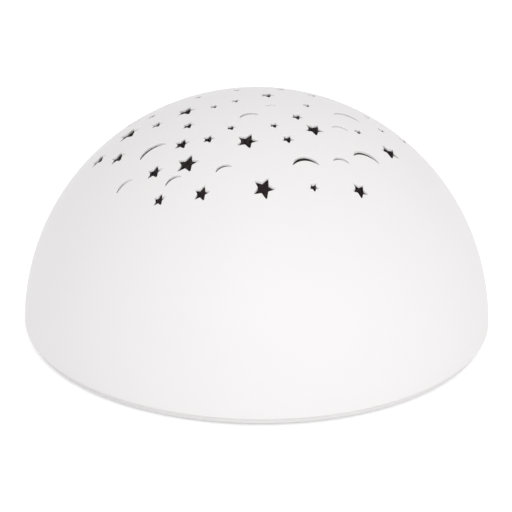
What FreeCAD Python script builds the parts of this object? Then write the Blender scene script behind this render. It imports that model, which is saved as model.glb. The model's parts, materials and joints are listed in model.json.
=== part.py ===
"""Star night light projector: a white half dome with star and moon cut-outs over a battery base.

The origin is on the floor under the middle of the dome, +Z is up and -Y is the front.
All lengths are millimetres and all angles are degrees. One STEP file is written per sub-part.
"""

import FreeCAD, Part
import math
import os

V = FreeCAD.Vector
UP = V(0, 0, 1)
FULL_TURN = 360

# Dome
dome_radius = 80.0  # outer sphere
dome_sink = 0.7  # the sphere's centre lies this far below the dome's lower edge
skirt_wall = 2.2  # wall below the star field
crown_wall = 0.8  # wall in the star field, thin so that the stars throw sharp edges
field_angle = 50.0  # from the pole to where the wall thickens
field_blend = 3.0  # angle over which it thickens
dome_edge_round = 0.5

# Cut-outs, all cut straight down
star_turn = -3.0  # one point of every star looks this way from +X
star_notch = 0.47  # inner corner over outer corner
star_sizes = {"large": 4.1, "big": 3.7, "medium": 3.0, "small": 2.4, "tiny": 1.9}  # centre to point
moon_turn = 14.0
moon_chords = {"wide": 9.2, "middle": 6.8, "narrow": 5.6, "short": 3.6}  # tip to tip
moon_outer_bow = 0.4  # height of the outer arc over the chord
moon_inner_bow = 0.2  # height of the inner arc over the chord

# Base plate
base_floor = 2.0
base_rim_inset = 1.3  # the plate's edge stands back from the dome's edge by this
base_edge_round = 0.5
spigot_height = 5.0  # locating wall inside the dome
spigot_wall = 1.6
spigot_gap = 0.2

# Feet
foot_radius = 6.0
foot_thickness = 2.0
foot_proud = 1.0  # how far a foot stands below the plate
foot_inset = 20.0  # from the dome's radius to the feet's circle
foot_gap = 0.1

# Dome screws
dome_screw_count = 4
dome_screw_inset = 10.0  # from the dome's radius to the screws' circle
dome_screw_first = 45.0
dome_screw_radius = 1.5
dome_screw_length = 12.0
dome_head_radius = 2.8
dome_head_height = 2.2
dome_boss_radius = 3.5
dome_rib = 2.0
well_depth = 3.2  # from the underside to the screw's seat
well_seat = 1.8  # material that the head clamps
well_wall = 1.6
head_gap = 0.4
shank_gap = 0.2

# Battery cells, three side by side along X
cell_count = 3
cell_radius = 7.1
cell_length = 50.5
cell_nub_radius = 2.75
cell_nub_length = 1.2
cell_spacing = 0.8  # air between two cells
cell_side_gap = 0.6
cell_over = 0.6
cell_under = 0.4

# Battery bay
bay_middle_y = -10.0
bay_wall = 2.0
bay_ledge = 1.0  # the door rests on this much of the bay's wall
bay_roof = 1.6

# Battery contacts
plate_thickness = 0.4
plate_width = 11.0
plate_height = 11.0
tab_width = 3.0
tab_rise = 2.5  # above the bay's roof
tab_slot_gap = 0.2
spring_length = 4.0  # squeezed between plate and cell
spring_wire_radius = 0.35
spring_foot_radius = 4.2  # at the plate
spring_tip_radius = 2.8  # at the cell
spring_turns = 3
spring_air = 0.05

# Battery door
door_gap = 0.2
door_corner = 2.0
door_tab_width = 12.0
door_tab_length = 10.0
door_pad_radius = 4.0
door_pad_height = 2.0
tongue_width = 8.0
tongue_reach = 2.4
tongue_thickness = 1.2
tongue_root = 1.8
tongue_air = 0.1
tongue_spread = 34.0  # between the two tongues' middles
tongue_slot_gap = 0.3
tongue_slot_height = 2.6
finger_groove_width = 16.0
finger_groove_radius = 1.0
finger_groove_rows = 3
finger_groove_pitch = 3.5

# Battery door screw
door_screw_radius = 1.4
door_screw_head_radius = 2.7
door_screw_head_height = 2.0
door_screw_recess = 0.2  # its face is this far inside the underside
door_screw_travel = 3.0  # how far it backs out before its retainer meets the pad
door_screw_bite = 2.4  # length of shank inside the tower
door_screw_fit = 0.05  # radial air where the shank runs in the tower or its retainer
door_screw_relief = 0.6  # the tower's hole is this much longer to the rear, so that the door can swing
retainer_radius = 2.6
retainer_thickness = 0.6
retainer_air = 0.1
cross_slot_width = 0.8
cross_slot_share = 1.25  # slot length over head radius
cross_slot_depth = 0.9
tower_width = 17.0
tower_wall = 2.0
tower_cover = 1.0  # material above the screw's tip
tower_pocket_air = 0.3

# Control board
board_thickness = 1.6
board_width = 52.0
board_depth = 23.0
board_corner = 1.5
board_setback = 8.3  # from the door screw's tower to the board
board_post_radius = 3.0
board_post_inset = 4.0  # from the board's edges to its screws
board_screw_radius = 1.3
board_screw_length = 6.0
board_head_radius = 2.4
board_head_height = 1.6

# Mode button
button_x = 12.0
button_radius = 5.0
button_recess = 0.2
button_gap = 0.2
button_travel = 0.5
button_flange = 1.5
button_flange_thickness = 1.0
button_stem_radius = 2.0
button_dish_radius = 14.0
button_dish_depth = 0.4
button_air = 0.1
guide_wall = 1.2
guide_rise = 2.4
tact_size = 6.0
tact_height = 3.4
tact_plunger_radius = 1.7
tact_plunger_rise = 1.0
tact_plunger_set = 0.9  # how far the plunger starts inside the switch
tact_air = 0.05

# Power slider
slider_x = -12.0
slider_travel = 2.0
slider_plate_length = 14.0
slider_plate_width = 7.0
slider_plate_thickness = 1.0
slider_grip_length = 6.0
slider_grip_width = 4.0
slider_grip_ribs = 3
slider_rib_depth = 0.4
slider_socket = 4.4
slider_gap = 0.2
slider_air = 0.1
rail_wall = 1.0
rail_rise = 1.6
switch_length = 9.0
switch_width = 4.4
switch_height = 4.0
lever_width = 1.6
lever_reach = 3.0
lever_set = 1.0
lever_room = 0.9  # from the slider's plate to the lever's tip

# Parts on the control board, their places measured from its middle
chip_size = (5.0, 4.0, 1.5)
chip_place = (-14.0, 4.5)
chip_leg_count = 4
chip_leg = (0.4, 1.0, 0.5)
chip_leg_pitch = 1.27
capacitor_radius = 3.15
capacitor_height = 7.5
capacitor_place = (-1.0, 6.0)
resistor_size = (2.0, 1.25, 0.5)
resistor_count = 4
resistor_pitch = 2.6
resistor_place = (6.0, 4.5)
socket_depth = 6.0
socket_height = 5.8
socket_wall = 0.8
socket_setback = 2.0  # from the board's front edge
plug_air = 0.1
plug_proud = 2.0
battery_plug_x = 11.0
battery_plug_ways = 2
led_plug_x = -1.0
led_plug_ways = 5
way_pitch = 2.0

# Leads
lead_radius = 0.7
ribbon_radius = 0.5
solder_air = 0.05
lead_rise = 1.3  # of the battery leads' middle above the bay's roof
bend_share = 0.45  # part of a run that each of its bends may take

# Light deck
deck_thickness = 1.6
lamp_room = 2.0  # from the bay's roof to the lamp board
deck_wall_gap = 1.6
deck_notch_gap = 1.0
deck_post_radius = 3.5
deck_post_circle = 48.0
deck_post_angles = (20.0, 160.0, 270.0)
deck_screw_radius = 1.5
deck_screw_length = 8.0
deck_head_radius = 2.75
deck_head_height = 2.0

# Light source
led_board_radius = 14.0
lens_radius = 6.2
lens_wall = 1.0
lens_flange = 1.8
lens_flange_thickness = 1.0
lens_straight = 2.2
lens_gap = 0.2
led_size = 3.0
led_height = 1.4
led_offset = 2.1
led_screw_spread = 22.0
led_screw_radius = 1.0
led_screw_length = 3.6
led_head_radius = 1.9
led_head_height = 1.3
led_boss_radius = 2.4

# Star field: angle from the pole, angle round from +X, size
stars = [
    (32.0, -87.5, "large"), (28.0, -129.0, "large"), (17.0, -99.5, "large"), (33.5, 174.0, "large"),
    (31.0, 76.0, "large"), (28.0, 113.0, "large"),
    (16.5, -35.5, "big"), (34.0, -9.5, "big"), (18.0, 173.5, "big"), (38.5, 47.0, "big"),
    (35.0, -114.0, "medium"), (33.5, -141.5, "medium"), (23.5, -143.5, "medium"),
    (37.0, -45.5, "medium"), (37.0, -169.0, "medium"), (42.5, 180.0, "medium"),
    (7.5, 75.0, "medium"), (26.0, 48.5, "medium"), (30.5, 142.0, "medium"),
    (38.5, 121.0, "medium"), (39.5, 86.0, "medium"),
    (39.5, -130.0, "small"), (19.0, -130.0, "small"), (17.0, -65.5, "small"),
    (10.5, -29.0, "small"), (18.5, -159.0, "small"), (25.5, 180.0, "small"),
    (17.0, 72.0, "small"), (19.5, 47.5, "small"), (38.0, 155.0, "small"),
    (34.5, 97.0, "small"), (40.0, 16.5, "small"),
    (13.0, -121.0, "tiny"), (33.0, -65.0, "tiny"), (11.0, -70.5, "tiny"), (25.0, -8.0, "tiny"),
    (32.0, 10.5, "tiny"), (12.0, 14.0, "tiny"), (6.5, 152.0, "tiny"), (28.5, 162.0, "tiny"),
    (19.5, 141.0, "tiny"), (11.0, 175.0, "tiny"), (24.5, 85.0, "tiny"), (15.0, 112.0, "tiny"),
    (30.5, 24.5, "tiny"), (37.5, 67.0, "tiny"), (36.5, 137.0, "tiny"), (42.0, 104.0, "tiny"),
]

# Moon field: angle from the pole, angle round from +X, size
moons = [
    (26.5, -63.5, "wide"), (29.5, -153.5, "wide"), (31.0, -28.5, "wide"), (22.0, 5.5, "wide"),
    (32.5, 59.5, "wide"), (22.0, 122.0, "wide"),
    (7.0, -109.0, "middle"), (35.5, 34.0, "middle"), (34.0, 129.0, "middle"),
    (27.5, -108.0, "narrow"), (28.5, -43.5, "narrow"), (34.0, -129.0, "narrow"),
    (40.5, -149.0, "narrow"), (21.0, -17.0, "narrow"), (26.0, 97.0, "narrow"),
    (33.0, 157.0, "narrow"), (36.0, 109.0, "narrow"),
    (3.0, -16.0, "short"), (22.0, 65.0, "short"),
]

# Places worked out from the values above
plate_bottom = foot_proud
plate_top = plate_bottom + base_floor
dome_centre_z = plate_top - dome_sink
skirt_radius = dome_radius - skirt_wall
crown_radius = dome_radius - crown_wall
plate_radius = math.sqrt(dome_radius**2 - dome_sink**2) - base_rim_inset
spigot_top = plate_top + spigot_height
dome_screw_circle = dome_radius - dome_screw_inset
foot_circle = dome_radius - foot_inset
spigot_radius = math.sqrt(skirt_radius**2 - (spigot_height + dome_sink) ** 2) - spigot_gap

cell_pitch = 2 * cell_radius + cell_spacing
bay_width = 2 * cell_radius * cell_count + cell_spacing * (cell_count - 1) + 2 * cell_side_gap
bay_length = cell_length + spring_length + 2 * plate_thickness
bay_height = 2 * cell_radius + cell_over + cell_under
bay_ceiling = plate_top + bay_height
roof_top = bay_ceiling + bay_roof
bay_half_length = bay_length / 2
bay_front = bay_middle_y - bay_width / 2
bay_rear = bay_middle_y + bay_width / 2
cell_axis_z = plate_top + cell_under + cell_radius

opening_front = bay_front - bay_ledge
opening_rear = bay_rear + bay_ledge
opening_length = bay_length + 2 * bay_ledge
door_screw_y = bay_rear + bay_wall + door_gap + door_pad_radius
door_seat_z = plate_bottom + door_screw_recess + door_screw_head_height
retainer_low = plate_top + door_pad_height + door_screw_travel + retainer_air
retainer_high = retainer_low + retainer_thickness
pocket_ceiling = retainer_high + tower_pocket_air
door_screw_tip = pocket_ceiling + door_screw_bite
tower_top = door_screw_tip + tower_cover
tower_rear = opening_rear + door_tab_length + tower_wall

slider_plate_top = plate_top + slider_air + slider_plate_thickness
lever_tip = slider_plate_top + lever_room
switch_bottom = lever_tip + lever_reach
board_bottom = switch_bottom + switch_height
board_top = board_bottom + board_thickness
board_front = tower_rear + board_setback
board_rear = board_front + board_depth
controls_y = (board_front + board_rear) / 2
board_screw_x = board_width / 2 - board_post_inset
board_screw_places = [
    (x, y)
    for x in (-board_screw_x, board_screw_x)
    for y in (board_front + board_post_inset, board_rear - board_post_inset)
]
socket_front = board_front + socket_setback
plug_rear = socket_front - plug_proud
tact_bottom = board_bottom - tact_height
plunger_tip = tact_bottom - tact_plunger_rise
well_seat_z = plate_bottom + well_depth
well_top = well_seat_z + well_seat

led_board_bottom = roof_top + lamp_room
led_board_top = led_board_bottom + board_thickness
deck_underside = led_board_top + lens_flange_thickness
deck_top = deck_underside + deck_thickness


def spot(radius, angle, z=0.0):
    """A point at a distance and an angle from the Z axis."""
    return V(radius * math.cos(math.radians(angle)), radius * math.sin(math.radians(angle)), z)


def cylinder(radius, bottom, top, x=0.0, y=0.0):
    """An upright cylinder between two heights."""
    return Part.makeCylinder(radius, top - bottom, V(x, y, bottom), UP)


def block(x0, x1, y0, y1, z0, z1):
    """A box between two corners."""
    return Part.makeBox(x1 - x0, y1 - y0, z1 - z0, V(x0, y0, z0))


def centred_block(x, y, width, depth, bottom, top):
    """A box round an upright middle line."""
    return block(x - width / 2, x + width / 2, y - depth / 2, y + depth / 2, bottom, top)


def upright_edges(shape, height):
    """The straight edges of a shape that stand upright and have this height."""
    found = []
    for edge in shape.Edges:
        low, high = edge.BoundBox.ZMin, edge.BoundBox.ZMax
        is_line = edge.Curve.TypeId == "Part::GeomLine"
        if is_line and abs(high - low - height) < 1e-6 and edge.Length < height + 1e-6:
            found.append(edge)
    return found


def rounded_block(x0, x1, y0, y1, z0, z1, radius):
    """A box with rounded upright corners."""
    shape = block(x0, x1, y0, y1, z0, z1)
    return shape.makeFillet(radius, upright_edges(shape, z1 - z0))


def revolve(edges):
    """A solid of revolution about Z from a closed outline in the XZ plane."""
    return Part.Face(Part.Wire(edges)).revolve(V(0, 0, 0), UP, FULL_TURN)


def line(a, b):
    return Part.LineSegment(a, b).toShape()


def arc(a, middle, b):
    return Part.Arc(a, middle, b).toShape()


def polygon_prism(points, z0, z1):
    """A prism over a closed outline of straight edges."""
    outline = [V(p.x, p.y, z0) for p in points]
    return Part.Face(Part.makePolygon(outline + outline[:1])).extrude(V(0, 0, z1 - z0))


def pan_screw(x, y, seat, head_radius, head_height, radius, length, up=True):
    """A pan head screw. Up means that its shank points up from the seat and its head hangs below."""
    way = 1 if up else -1
    head = cylinder(head_radius, *sorted((seat, seat - way * head_height)), x, y)
    rim = [e for e in head.Edges if abs(e.BoundBox.ZMin - (seat - way * head_height)) < 1e-6]
    rim = [e for e in rim if e.Curve.TypeId == "Part::GeomCircle" and e.BoundBox.ZLength < 1e-6]
    head = head.makeFillet(head_height / 3, rim)
    shank = cylinder(radius, *sorted((seat, seat + way * length)), x, y)
    face = seat - way * head_height
    inner = face + way * min(cross_slot_depth, head_height / 2)
    low, high = sorted((face, inner))
    slot_length = cross_slot_share * head_radius
    slots = [
        centred_block(x, y, slot_length, cross_slot_width, low, high),
        centred_block(x, y, cross_slot_width, slot_length, low, high),
    ]
    return head.fuse(shank).cut(slots).removeSplitter()


def on_sphere(radius, angle):
    """A point of the dome's section at an angle from the pole."""
    a = math.radians(angle)
    return V(radius * math.sin(a), 0, dome_centre_z + radius * math.cos(a))


def angle_at_height(radius, z):
    """The angle from the pole at which a sphere round the dome's centre reaches a height."""
    return math.degrees(math.acos((z - dome_centre_z) / radius))


def dome_section(outer, crown, skirt):
    """The dome's closed outline, from the pole down the outside and back up the inside."""
    low = plate_top + dome_edge_round
    outside = angle_at_height(outer, low)
    inside = angle_at_height(skirt, plate_top)
    thick = field_angle + field_blend
    edge_out = on_sphere(outer, outside)
    edge_in = on_sphere(skirt, inside)
    corner = V(edge_out.x - dome_edge_round, 0, plate_top)
    lean = dome_edge_round * math.sqrt(0.5)
    round_middle = V(corner.x + lean, 0, plate_top + dome_edge_round - lean)
    return [
        arc(on_sphere(outer, 0), on_sphere(outer, outside / 2), edge_out),
        arc(edge_out, round_middle, corner),
        line(corner, edge_in),
        arc(edge_in, on_sphere(skirt, (inside + thick) / 2), on_sphere(skirt, thick)),
        line(on_sphere(skirt, thick), on_sphere(crown, field_angle)),
        arc(on_sphere(crown, field_angle), on_sphere(crown, field_angle / 2), on_sphere(crown, 0)),
        line(on_sphere(crown, 0), on_sphere(outer, 0)),
    ]


def field_place(angle_down, angle_round):
    """The plan place of a cut-out from its angle down the dome and its angle round it."""
    return spot(dome_radius * math.sin(math.radians(angle_down)), angle_round)


def star_outline(angle_down, angle_round, size):
    """The ten corners of a star, long and short in turn."""
    middle = field_place(angle_down, angle_round)
    outline = []
    for step in range(10):
        reach = star_sizes[size] * (star_notch if step % 2 else 1)
        outline.append(middle + spot(reach, star_turn + 36 * step))
    return outline


def moon_edges(angle_down, angle_round, size, z):
    """The two arcs of a crescent that bows away from the front."""
    middle = field_place(angle_down, angle_round)
    middle.z = z
    chord = moon_chords[size]
    along, across = spot(chord / 2, moon_turn), spot(chord, moon_turn + 90)
    tips = middle - along, middle + along
    outer = arc(tips[0], middle + across * moon_outer_bow, tips[1])
    inner = arc(tips[1], middle + across * moon_inner_bow, tips[0])
    return [outer, inner]


def field_cutters():
    """Upright prisms for every star and moon."""
    low = on_sphere(dome_radius, field_angle).z
    high = dome_centre_z + dome_radius + crown_wall
    cutters = [polygon_prism(star_outline(*star), low, high) for star in stars]
    for moon in moons:
        face = Part.Face(Part.Wire(moon_edges(*moon, low)))
        cutters.append(face.extrude(V(0, 0, high - low)))
    return cutters


def dome_screw_places():
    step = FULL_TURN / dome_screw_count
    return [spot(dome_screw_circle, dome_screw_first + step * i) for i in range(dome_screw_count)]


def dome_shell():
    """The half dome with its cut-outs and the screw bosses inside it."""
    shell = revolve(dome_section(dome_radius, crown_radius, skirt_radius))
    inside = Part.makeSphere(skirt_radius + skirt_wall / 2, V(0, 0, dome_centre_z))
    posts, holes = [], []
    rib_length = skirt_radius - dome_screw_circle + skirt_wall / 2
    for i, place in enumerate(dome_screw_places()):
        boss = cylinder(dome_boss_radius, well_top, dome_centre_z + dome_radius, place.x, place.y)
        rib = block(0, rib_length, -dome_rib / 2, dome_rib / 2, spigot_top + dome_rib, dome_radius)
        rib.rotate(V(0, 0, 0), UP, dome_screw_first + FULL_TURN / dome_screw_count * i)
        rib.translate(place)
        posts.append(boss.fuse(rib).common(inside))
        top = well_seat_z + dome_screw_length
        holes.append(cylinder(dome_screw_radius, well_top, top, place.x, place.y))
    shell = shell.cut(field_cutters())
    return shell.fuse(posts).cut(holes).removeSplitter()


def foot_places():
    return [spot(foot_circle, dome_screw_first + FULL_TURN / 4 * i) for i in range(4)]


def deck_post_places():
    return [spot(deck_post_circle, angle) for angle in deck_post_angles]


def bay_shell():
    """The walls and roof of the battery bay, standing on the plate."""
    outer = block(
        -bay_half_length - bay_wall, bay_half_length + bay_wall,
        bay_front - bay_wall, bay_rear + bay_wall, plate_top, roof_top,
    )
    inner = block(-bay_half_length, bay_half_length, bay_front, bay_rear, plate_top, bay_ceiling)
    return outer.cut(inner)


def door_outline(gap, z0, z1):
    """The door's plate with its screw tab, drawn in from the opening by a gap."""
    half = opening_length / 2 - gap
    plate = rounded_block(
        -half, half, opening_front + gap, opening_rear - gap, z0, z1, door_corner - gap
    )
    tab_half = door_tab_width / 2 + door_gap - gap
    tab = rounded_block(
        -tab_half, tab_half, opening_rear - 2 * door_corner,
        opening_rear + door_tab_length - gap, z0, z1, door_corner - gap,
    )
    return plate.fuse(tab).removeSplitter()


def tongue_places():
    return [-tongue_spread / 2, tongue_spread / 2]


def tower():
    """The block over the door's tab that the door screw bites into."""
    half = tower_width / 2
    body = block(-half, half, bay_rear, tower_rear, plate_top, tower_top)
    pocket = block(
        -door_tab_width / 2 - door_gap, door_tab_width / 2 + door_gap,
        bay_rear + bay_wall, opening_rear + door_tab_length, plate_top, pocket_ceiling,
    )
    radius = door_screw_radius + door_screw_fit
    hole = cylinder(radius, plate_top, tower_top, 0, door_screw_y)
    relief = block(
        -radius, radius, door_screw_y, door_screw_y + door_screw_relief, plate_top, tower_top
    )
    far_end = cylinder(radius, plate_top, tower_top, 0, door_screw_y + door_screw_relief)
    return body.cut([pocket, hole, relief, far_end])


def base_posts():
    """Everything that stands on the plate: wells, posts, guides and rails."""
    posts = []
    well_outer = dome_head_radius + head_gap + well_wall
    for p in dome_screw_places():
        posts.append(cylinder(well_outer, plate_top, well_top, p.x, p.y))
    for p in deck_post_places():
        posts.append(cylinder(deck_post_radius, plate_top, deck_underside, p.x, p.y))
    for x, y in board_screw_places:
        posts.append(cylinder(board_post_radius, plate_top, board_bottom, x, y))
    guide_inner = button_radius + button_flange + button_gap
    guide = cylinder(guide_inner + guide_wall, plate_top, plate_top + guide_rise, button_x, controls_y)
    bore = cylinder(guide_inner, plate_top, plate_top + guide_rise, button_x, controls_y)
    posts.append(guide.cut(bore))
    rail_offset = slider_plate_width / 2 + slider_gap + rail_wall / 2
    rail_length = slider_plate_length + slider_travel
    for side in (-1, 1):
        y = controls_y + side * rail_offset
        top = plate_top + rail_rise
        posts.append(centred_block(slider_x, y, rail_length, rail_wall, plate_top, top))
    return posts


def base_cuts():
    """Everything that is taken out of the plate and its posts."""
    cuts = [door_outline(0, plate_bottom, plate_top)]
    for p in dome_screw_places():
        cuts.append(cylinder(dome_head_radius + head_gap, plate_bottom, well_seat_z, p.x, p.y))
        cuts.append(cylinder(dome_screw_radius + shank_gap, plate_bottom, well_top, p.x, p.y))
    for p in foot_places():
        top = plate_bottom + foot_thickness - foot_proud
        cuts.append(cylinder(foot_radius + foot_gap, plate_bottom, top, p.x, p.y))
    for p in deck_post_places():
        bottom = deck_underside - deck_screw_length + deck_thickness
        cuts.append(cylinder(deck_screw_radius, bottom, deck_underside, p.x, p.y))
    for x, y in board_screw_places:
        bottom = board_top - board_screw_length
        cuts.append(cylinder(board_screw_radius, bottom, board_bottom, x, y))
    cuts.append(cylinder(button_radius + button_gap, plate_bottom, plate_top, button_x, controls_y))
    slot_length = slider_grip_length + slider_travel + 2 * slider_gap
    slot_width = slider_grip_width + 2 * slider_gap
    cuts.append(
        centred_block(slider_x, controls_y, slot_length, slot_width, plate_bottom, plate_top)
    )
    for x in tongue_places():
        half = tongue_width / 2 + tongue_slot_gap
        cuts.append(
            block(x - half, x + half, bay_front - bay_wall, bay_front,
                  plate_top, plate_top + tongue_slot_height)
        )
    for contact in contact_plan():
        if contact["tab"]:
            cuts.append(tab_block(contact, bay_ceiling, roof_top, tab_slot_gap))
    return cuts


def base_plate():
    """The bottom cover: a disc with the battery bay, the door's opening and all posts."""
    disc = cylinder(plate_radius, plate_bottom, plate_top)
    rim = [e for e in disc.Edges if abs(e.BoundBox.ZMax - plate_bottom) < 1e-6]
    disc = disc.makeFillet(base_edge_round, rim)
    spigot = cylinder(spigot_radius, plate_top, spigot_top)
    spigot = spigot.cut(cylinder(spigot_radius - spigot_wall, plate_top, spigot_top))
    body = disc.fuse([spigot, bay_shell(), tower()] + base_posts())
    return body.cut(base_cuts()).removeSplitter()


def battery_door():
    """The door with its two tongues, its screw pad and its finger grooves."""
    door = door_outline(door_gap, plate_bottom, plate_top)
    front = opening_front
    parts = [cylinder(door_pad_radius, plate_top, plate_top + door_pad_height, 0, door_screw_y)]
    for x in tongue_places():
        half = tongue_width / 2
        low = plate_top + tongue_air
        high = low + tongue_thickness
        parts.append(block(x - half, x + half, front - tongue_reach, front + door_gap, low, high))
        root_rear = front + door_gap + tongue_root
        parts.append(block(x - half, x + half, front + door_gap, root_rear, plate_top, high))
    door = door.fuse(parts)
    head_room = door_screw_head_radius + head_gap
    cuts = [
        cylinder(head_room, plate_bottom, door_seat_z, 0, door_screw_y),
        cylinder(door_screw_radius + shank_gap, plate_bottom, pocket_ceiling, 0, door_screw_y),
    ]
    for i in range(finger_groove_rows):
        y = opening_rear - door_corner - finger_groove_pitch * (i + 1)
        groove = Part.makeCylinder(
            finger_groove_radius, finger_groove_width,
            V(-finger_groove_width / 2, y, plate_bottom - finger_groove_radius / 2), V(1, 0, 0),
        )
        cuts.append(groove)
    return door.cut(cuts).removeSplitter()


def battery_door_screw():
    return pan_screw(
        0, door_screw_y, door_seat_z, door_screw_head_radius,
        door_screw_head_height, door_screw_radius, door_screw_tip - door_seat_z,
    )


def screw_retainer():
    """The ring on the door screw's shank that keeps the screw in the door."""
    ring = cylinder(retainer_radius, retainer_low, retainer_high, 0, door_screw_y)
    bore_radius = door_screw_radius + door_screw_fit
    return ring.cut(cylinder(bore_radius, retainer_low, retainer_high, 0, door_screw_y))


def rubber_feet():
    """Four soft pads, each glued in a round recess."""
    feet = []
    for p in foot_places():
        foot = cylinder(foot_radius, 0, foot_thickness, p.x, p.y)
        rim = [e for e in foot.Edges if abs(e.BoundBox.ZMax) < 1e-6]
        feet.append(foot.makeFillet(foot_proud / 2, rim))
    return feet


def dome_screws():
    return [
        pan_screw(
            p.x, p.y, well_seat_z, dome_head_radius,
            dome_head_height, dome_screw_radius, dome_screw_length,
        )
        for p in dome_screw_places()
    ]


def contact_plan():
    """Which contact plates there are: side is -1 for -X, cells are numbered from the front."""
    return [
        {"name": "negative", "side": -1, "cells": (0,), "springs": (0,), "tab": True},
        {"name": "left_bridge", "side": -1, "cells": (1, 2), "springs": (2,), "tab": False},
        {"name": "right_bridge", "side": 1, "cells": (0, 1), "springs": (1,), "tab": False},
        {"name": "positive", "side": 1, "cells": (2,), "springs": (), "tab": True},
    ]


def cell_y(index):
    return bay_middle_y + (index - (cell_count - 1) / 2) * cell_pitch


def positive_side(index):
    """Cells lie head to tail: the first and third point their nub to +X."""
    return 1 if index % 2 == 0 else -1


def battery_cell(index):
    """One cell, its nub against a plate and its flat end on a spring."""
    side = positive_side(index)
    nub_tip = side * (bay_half_length - plate_thickness)
    axis = V(-side, 0, 0)
    can_start = nub_tip - side * cell_nub_length
    y = cell_y(index)
    can = Part.makeCylinder(
        cell_radius, cell_length - cell_nub_length, V(can_start, y, cell_axis_z), axis
    )
    can = can.makeFillet(
        cell_radius / 16, [e for e in can.Edges if e.Curve.TypeId == "Part::GeomCircle"]
    )
    nub = Part.makeCylinder(
        cell_nub_radius, cell_nub_length + cell_radius / 16, V(nub_tip, y, cell_axis_z), axis
    )
    return can.fuse(nub).removeSplitter()


def tab_block(contact, low, high, gap=0.0):
    """The solder tab of an end contact, or the slot for it where a gap is given."""
    y = cell_y(contact["cells"][0])
    wall = contact["side"] * bay_half_length
    face = wall - contact["side"] * plate_thickness
    x0, x1 = sorted((wall + contact["side"] * gap, face - contact["side"] * gap))
    return block(x0, x1, y - tab_width / 2 - gap, y + tab_width / 2 + gap, low, high)


def contact_plate(contact):
    """One sheet metal plate against the bay's end wall."""
    ys = [cell_y(i) for i in contact["cells"]]
    wall = contact["side"] * bay_half_length
    x0, x1 = sorted((wall, wall - contact["side"] * plate_thickness))
    low = cell_axis_z - plate_height / 2
    high = cell_axis_z + plate_height / 2
    plate = rounded_plate_in_yz(x0, x1, min(ys) - plate_width / 2, max(ys) + plate_width / 2, low, high)
    if contact["tab"]:
        middle = (low + high) / 2
        plate = plate.fuse(tab_block(contact, middle, roof_top + tab_rise)).removeSplitter()
    return plate


def rounded_plate_in_yz(x0, x1, y0, y1, z0, z1):
    """A thin upright plate across X with rounded corners."""
    plate = block(x0, x1, y0, y1, z0, z1)
    corners = [e for e in plate.Edges if abs(e.BoundBox.XLength - (x1 - x0)) < 1e-6]
    corners = [e for e in corners if e.BoundBox.YLength < 1e-6 and e.BoundBox.ZLength < 1e-6]
    return plate.makeFillet((z1 - z0) / 8, corners)


def spring_point(t, side, y):
    """Place on a spring's centre line: t runs from 0 at the plate to 1 at the cell."""
    turn = 2 * math.pi * spring_turns * t
    radius = spring_foot_radius + (spring_tip_radius - spring_foot_radius) * t
    inset = spring_wire_radius + spring_air
    along = inset + (spring_length - 2 * inset) * t
    start = side * (bay_half_length - plate_thickness)
    return V(start - side * along, y + radius * math.cos(turn), cell_axis_z + radius * math.sin(turn))


def spring_direction(t, side, y):
    step = 1e-4
    return (spring_point(t + step, side, y) - spring_point(t - step, side, y)).normalize()


def biarc(p0, t0, p1, t1):
    """Two arcs in a row from p0 to p1 that start along t0 and end along t1."""
    gap = p1 - p0
    both = t0 + t1
    a = both.dot(both) - 4
    b = -2 * gap.dot(both)
    c = gap.dot(gap)
    reach = (-b - math.sqrt(b * b - 4 * a * c)) / (2 * a)
    q0, q1 = p0 + t0 * reach, p1 - t1 * reach
    joint = (q0 + q1) * 0.5
    return [arc_by_corner(p0, q0, joint), arc_by_corner(joint, q1, p1)]


def arc_by_corner(start, corner, end):
    """The arc from start to end whose end tangents meet at a corner."""
    chord_middle = (start + end) * 0.5
    half_chord = (end - start).Length / 2
    leg = (corner - start).Length
    half_angle = math.acos(min(1.0, half_chord / leg))
    bow = half_chord * math.tan(half_angle / 2)
    return arc(start, chord_middle + (corner - chord_middle).normalize() * bow, end)


def contact_spring(side, index):
    """One conical spring as an unbroken round wire."""
    y = cell_y(index)
    spans = 4 * spring_turns
    edges = []
    for i in range(spans):
        t0, t1 = i / spans, (i + 1) / spans
        edges += biarc(
            spring_point(t0, side, y), spring_direction(t0, side, y),
            spring_point(t1, side, y), spring_direction(t1, side, y),
        )
    return tube(edges, spring_wire_radius, spring_point(0, side, y), spring_direction(0, side, y))


def tube(edges, radius, start, direction):
    """A round tube along a path that starts at a point in a direction."""
    path = Part.Wire(edges)
    ring = Part.Wire(Part.makeCircle(radius, start, direction))
    return path.makePipeShell([ring], True, False)


def spring_air_gap():
    """The least gap between two turns of a spring, measured on points of its centre line."""
    samples = 72 * spring_turns
    points = [spring_point(i / samples, -1, 0) for i in range(samples + 1)]
    least = spring_length
    for i, p in enumerate(points):
        for q in points[i + 36:]:
            least = min(least, (p - q).Length)
    return least - 2 * spring_wire_radius


def contact_springs():
    springs = []
    for contact in contact_plan():
        springs += [contact_spring(contact["side"], index) for index in contact["springs"]]
    return springs


def lead(points, radius):
    """A lead of straight runs joined by arcs, each as large as its two runs allow."""
    edges, here = [], points[0]
    for before, corner, after in zip(points, points[1:], points[2:]):
        incoming, outgoing = corner - before, after - corner
        turn = incoming.getAngle(outgoing)
        cut = bend_share * min(incoming.Length, outgoing.Length)
        enter = corner - incoming.normalize() * cut
        leave = corner + outgoing.normalize() * cut
        edges += [line(here, enter), arc_by_corner(enter, corner, leave)]
        here = leave
        print("lead bend radius", round(cut / math.tan(turn / 2), 1))
    edges.append(line(here, points[-1]))
    shape = tube(edges, radius, points[0], points[1] - points[0])
    expected = math.pi * radius**2 * sum(e.Length for e in edges)
    print("lead volume over section times length", round(shape.Volume / expected, 4))
    return shape


def plug_way_x(middle, ways, index):
    return middle + (index - (ways - 1) / 2) * way_pitch


def plug_middle_z():
    return board_top + socket_height / 2


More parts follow.
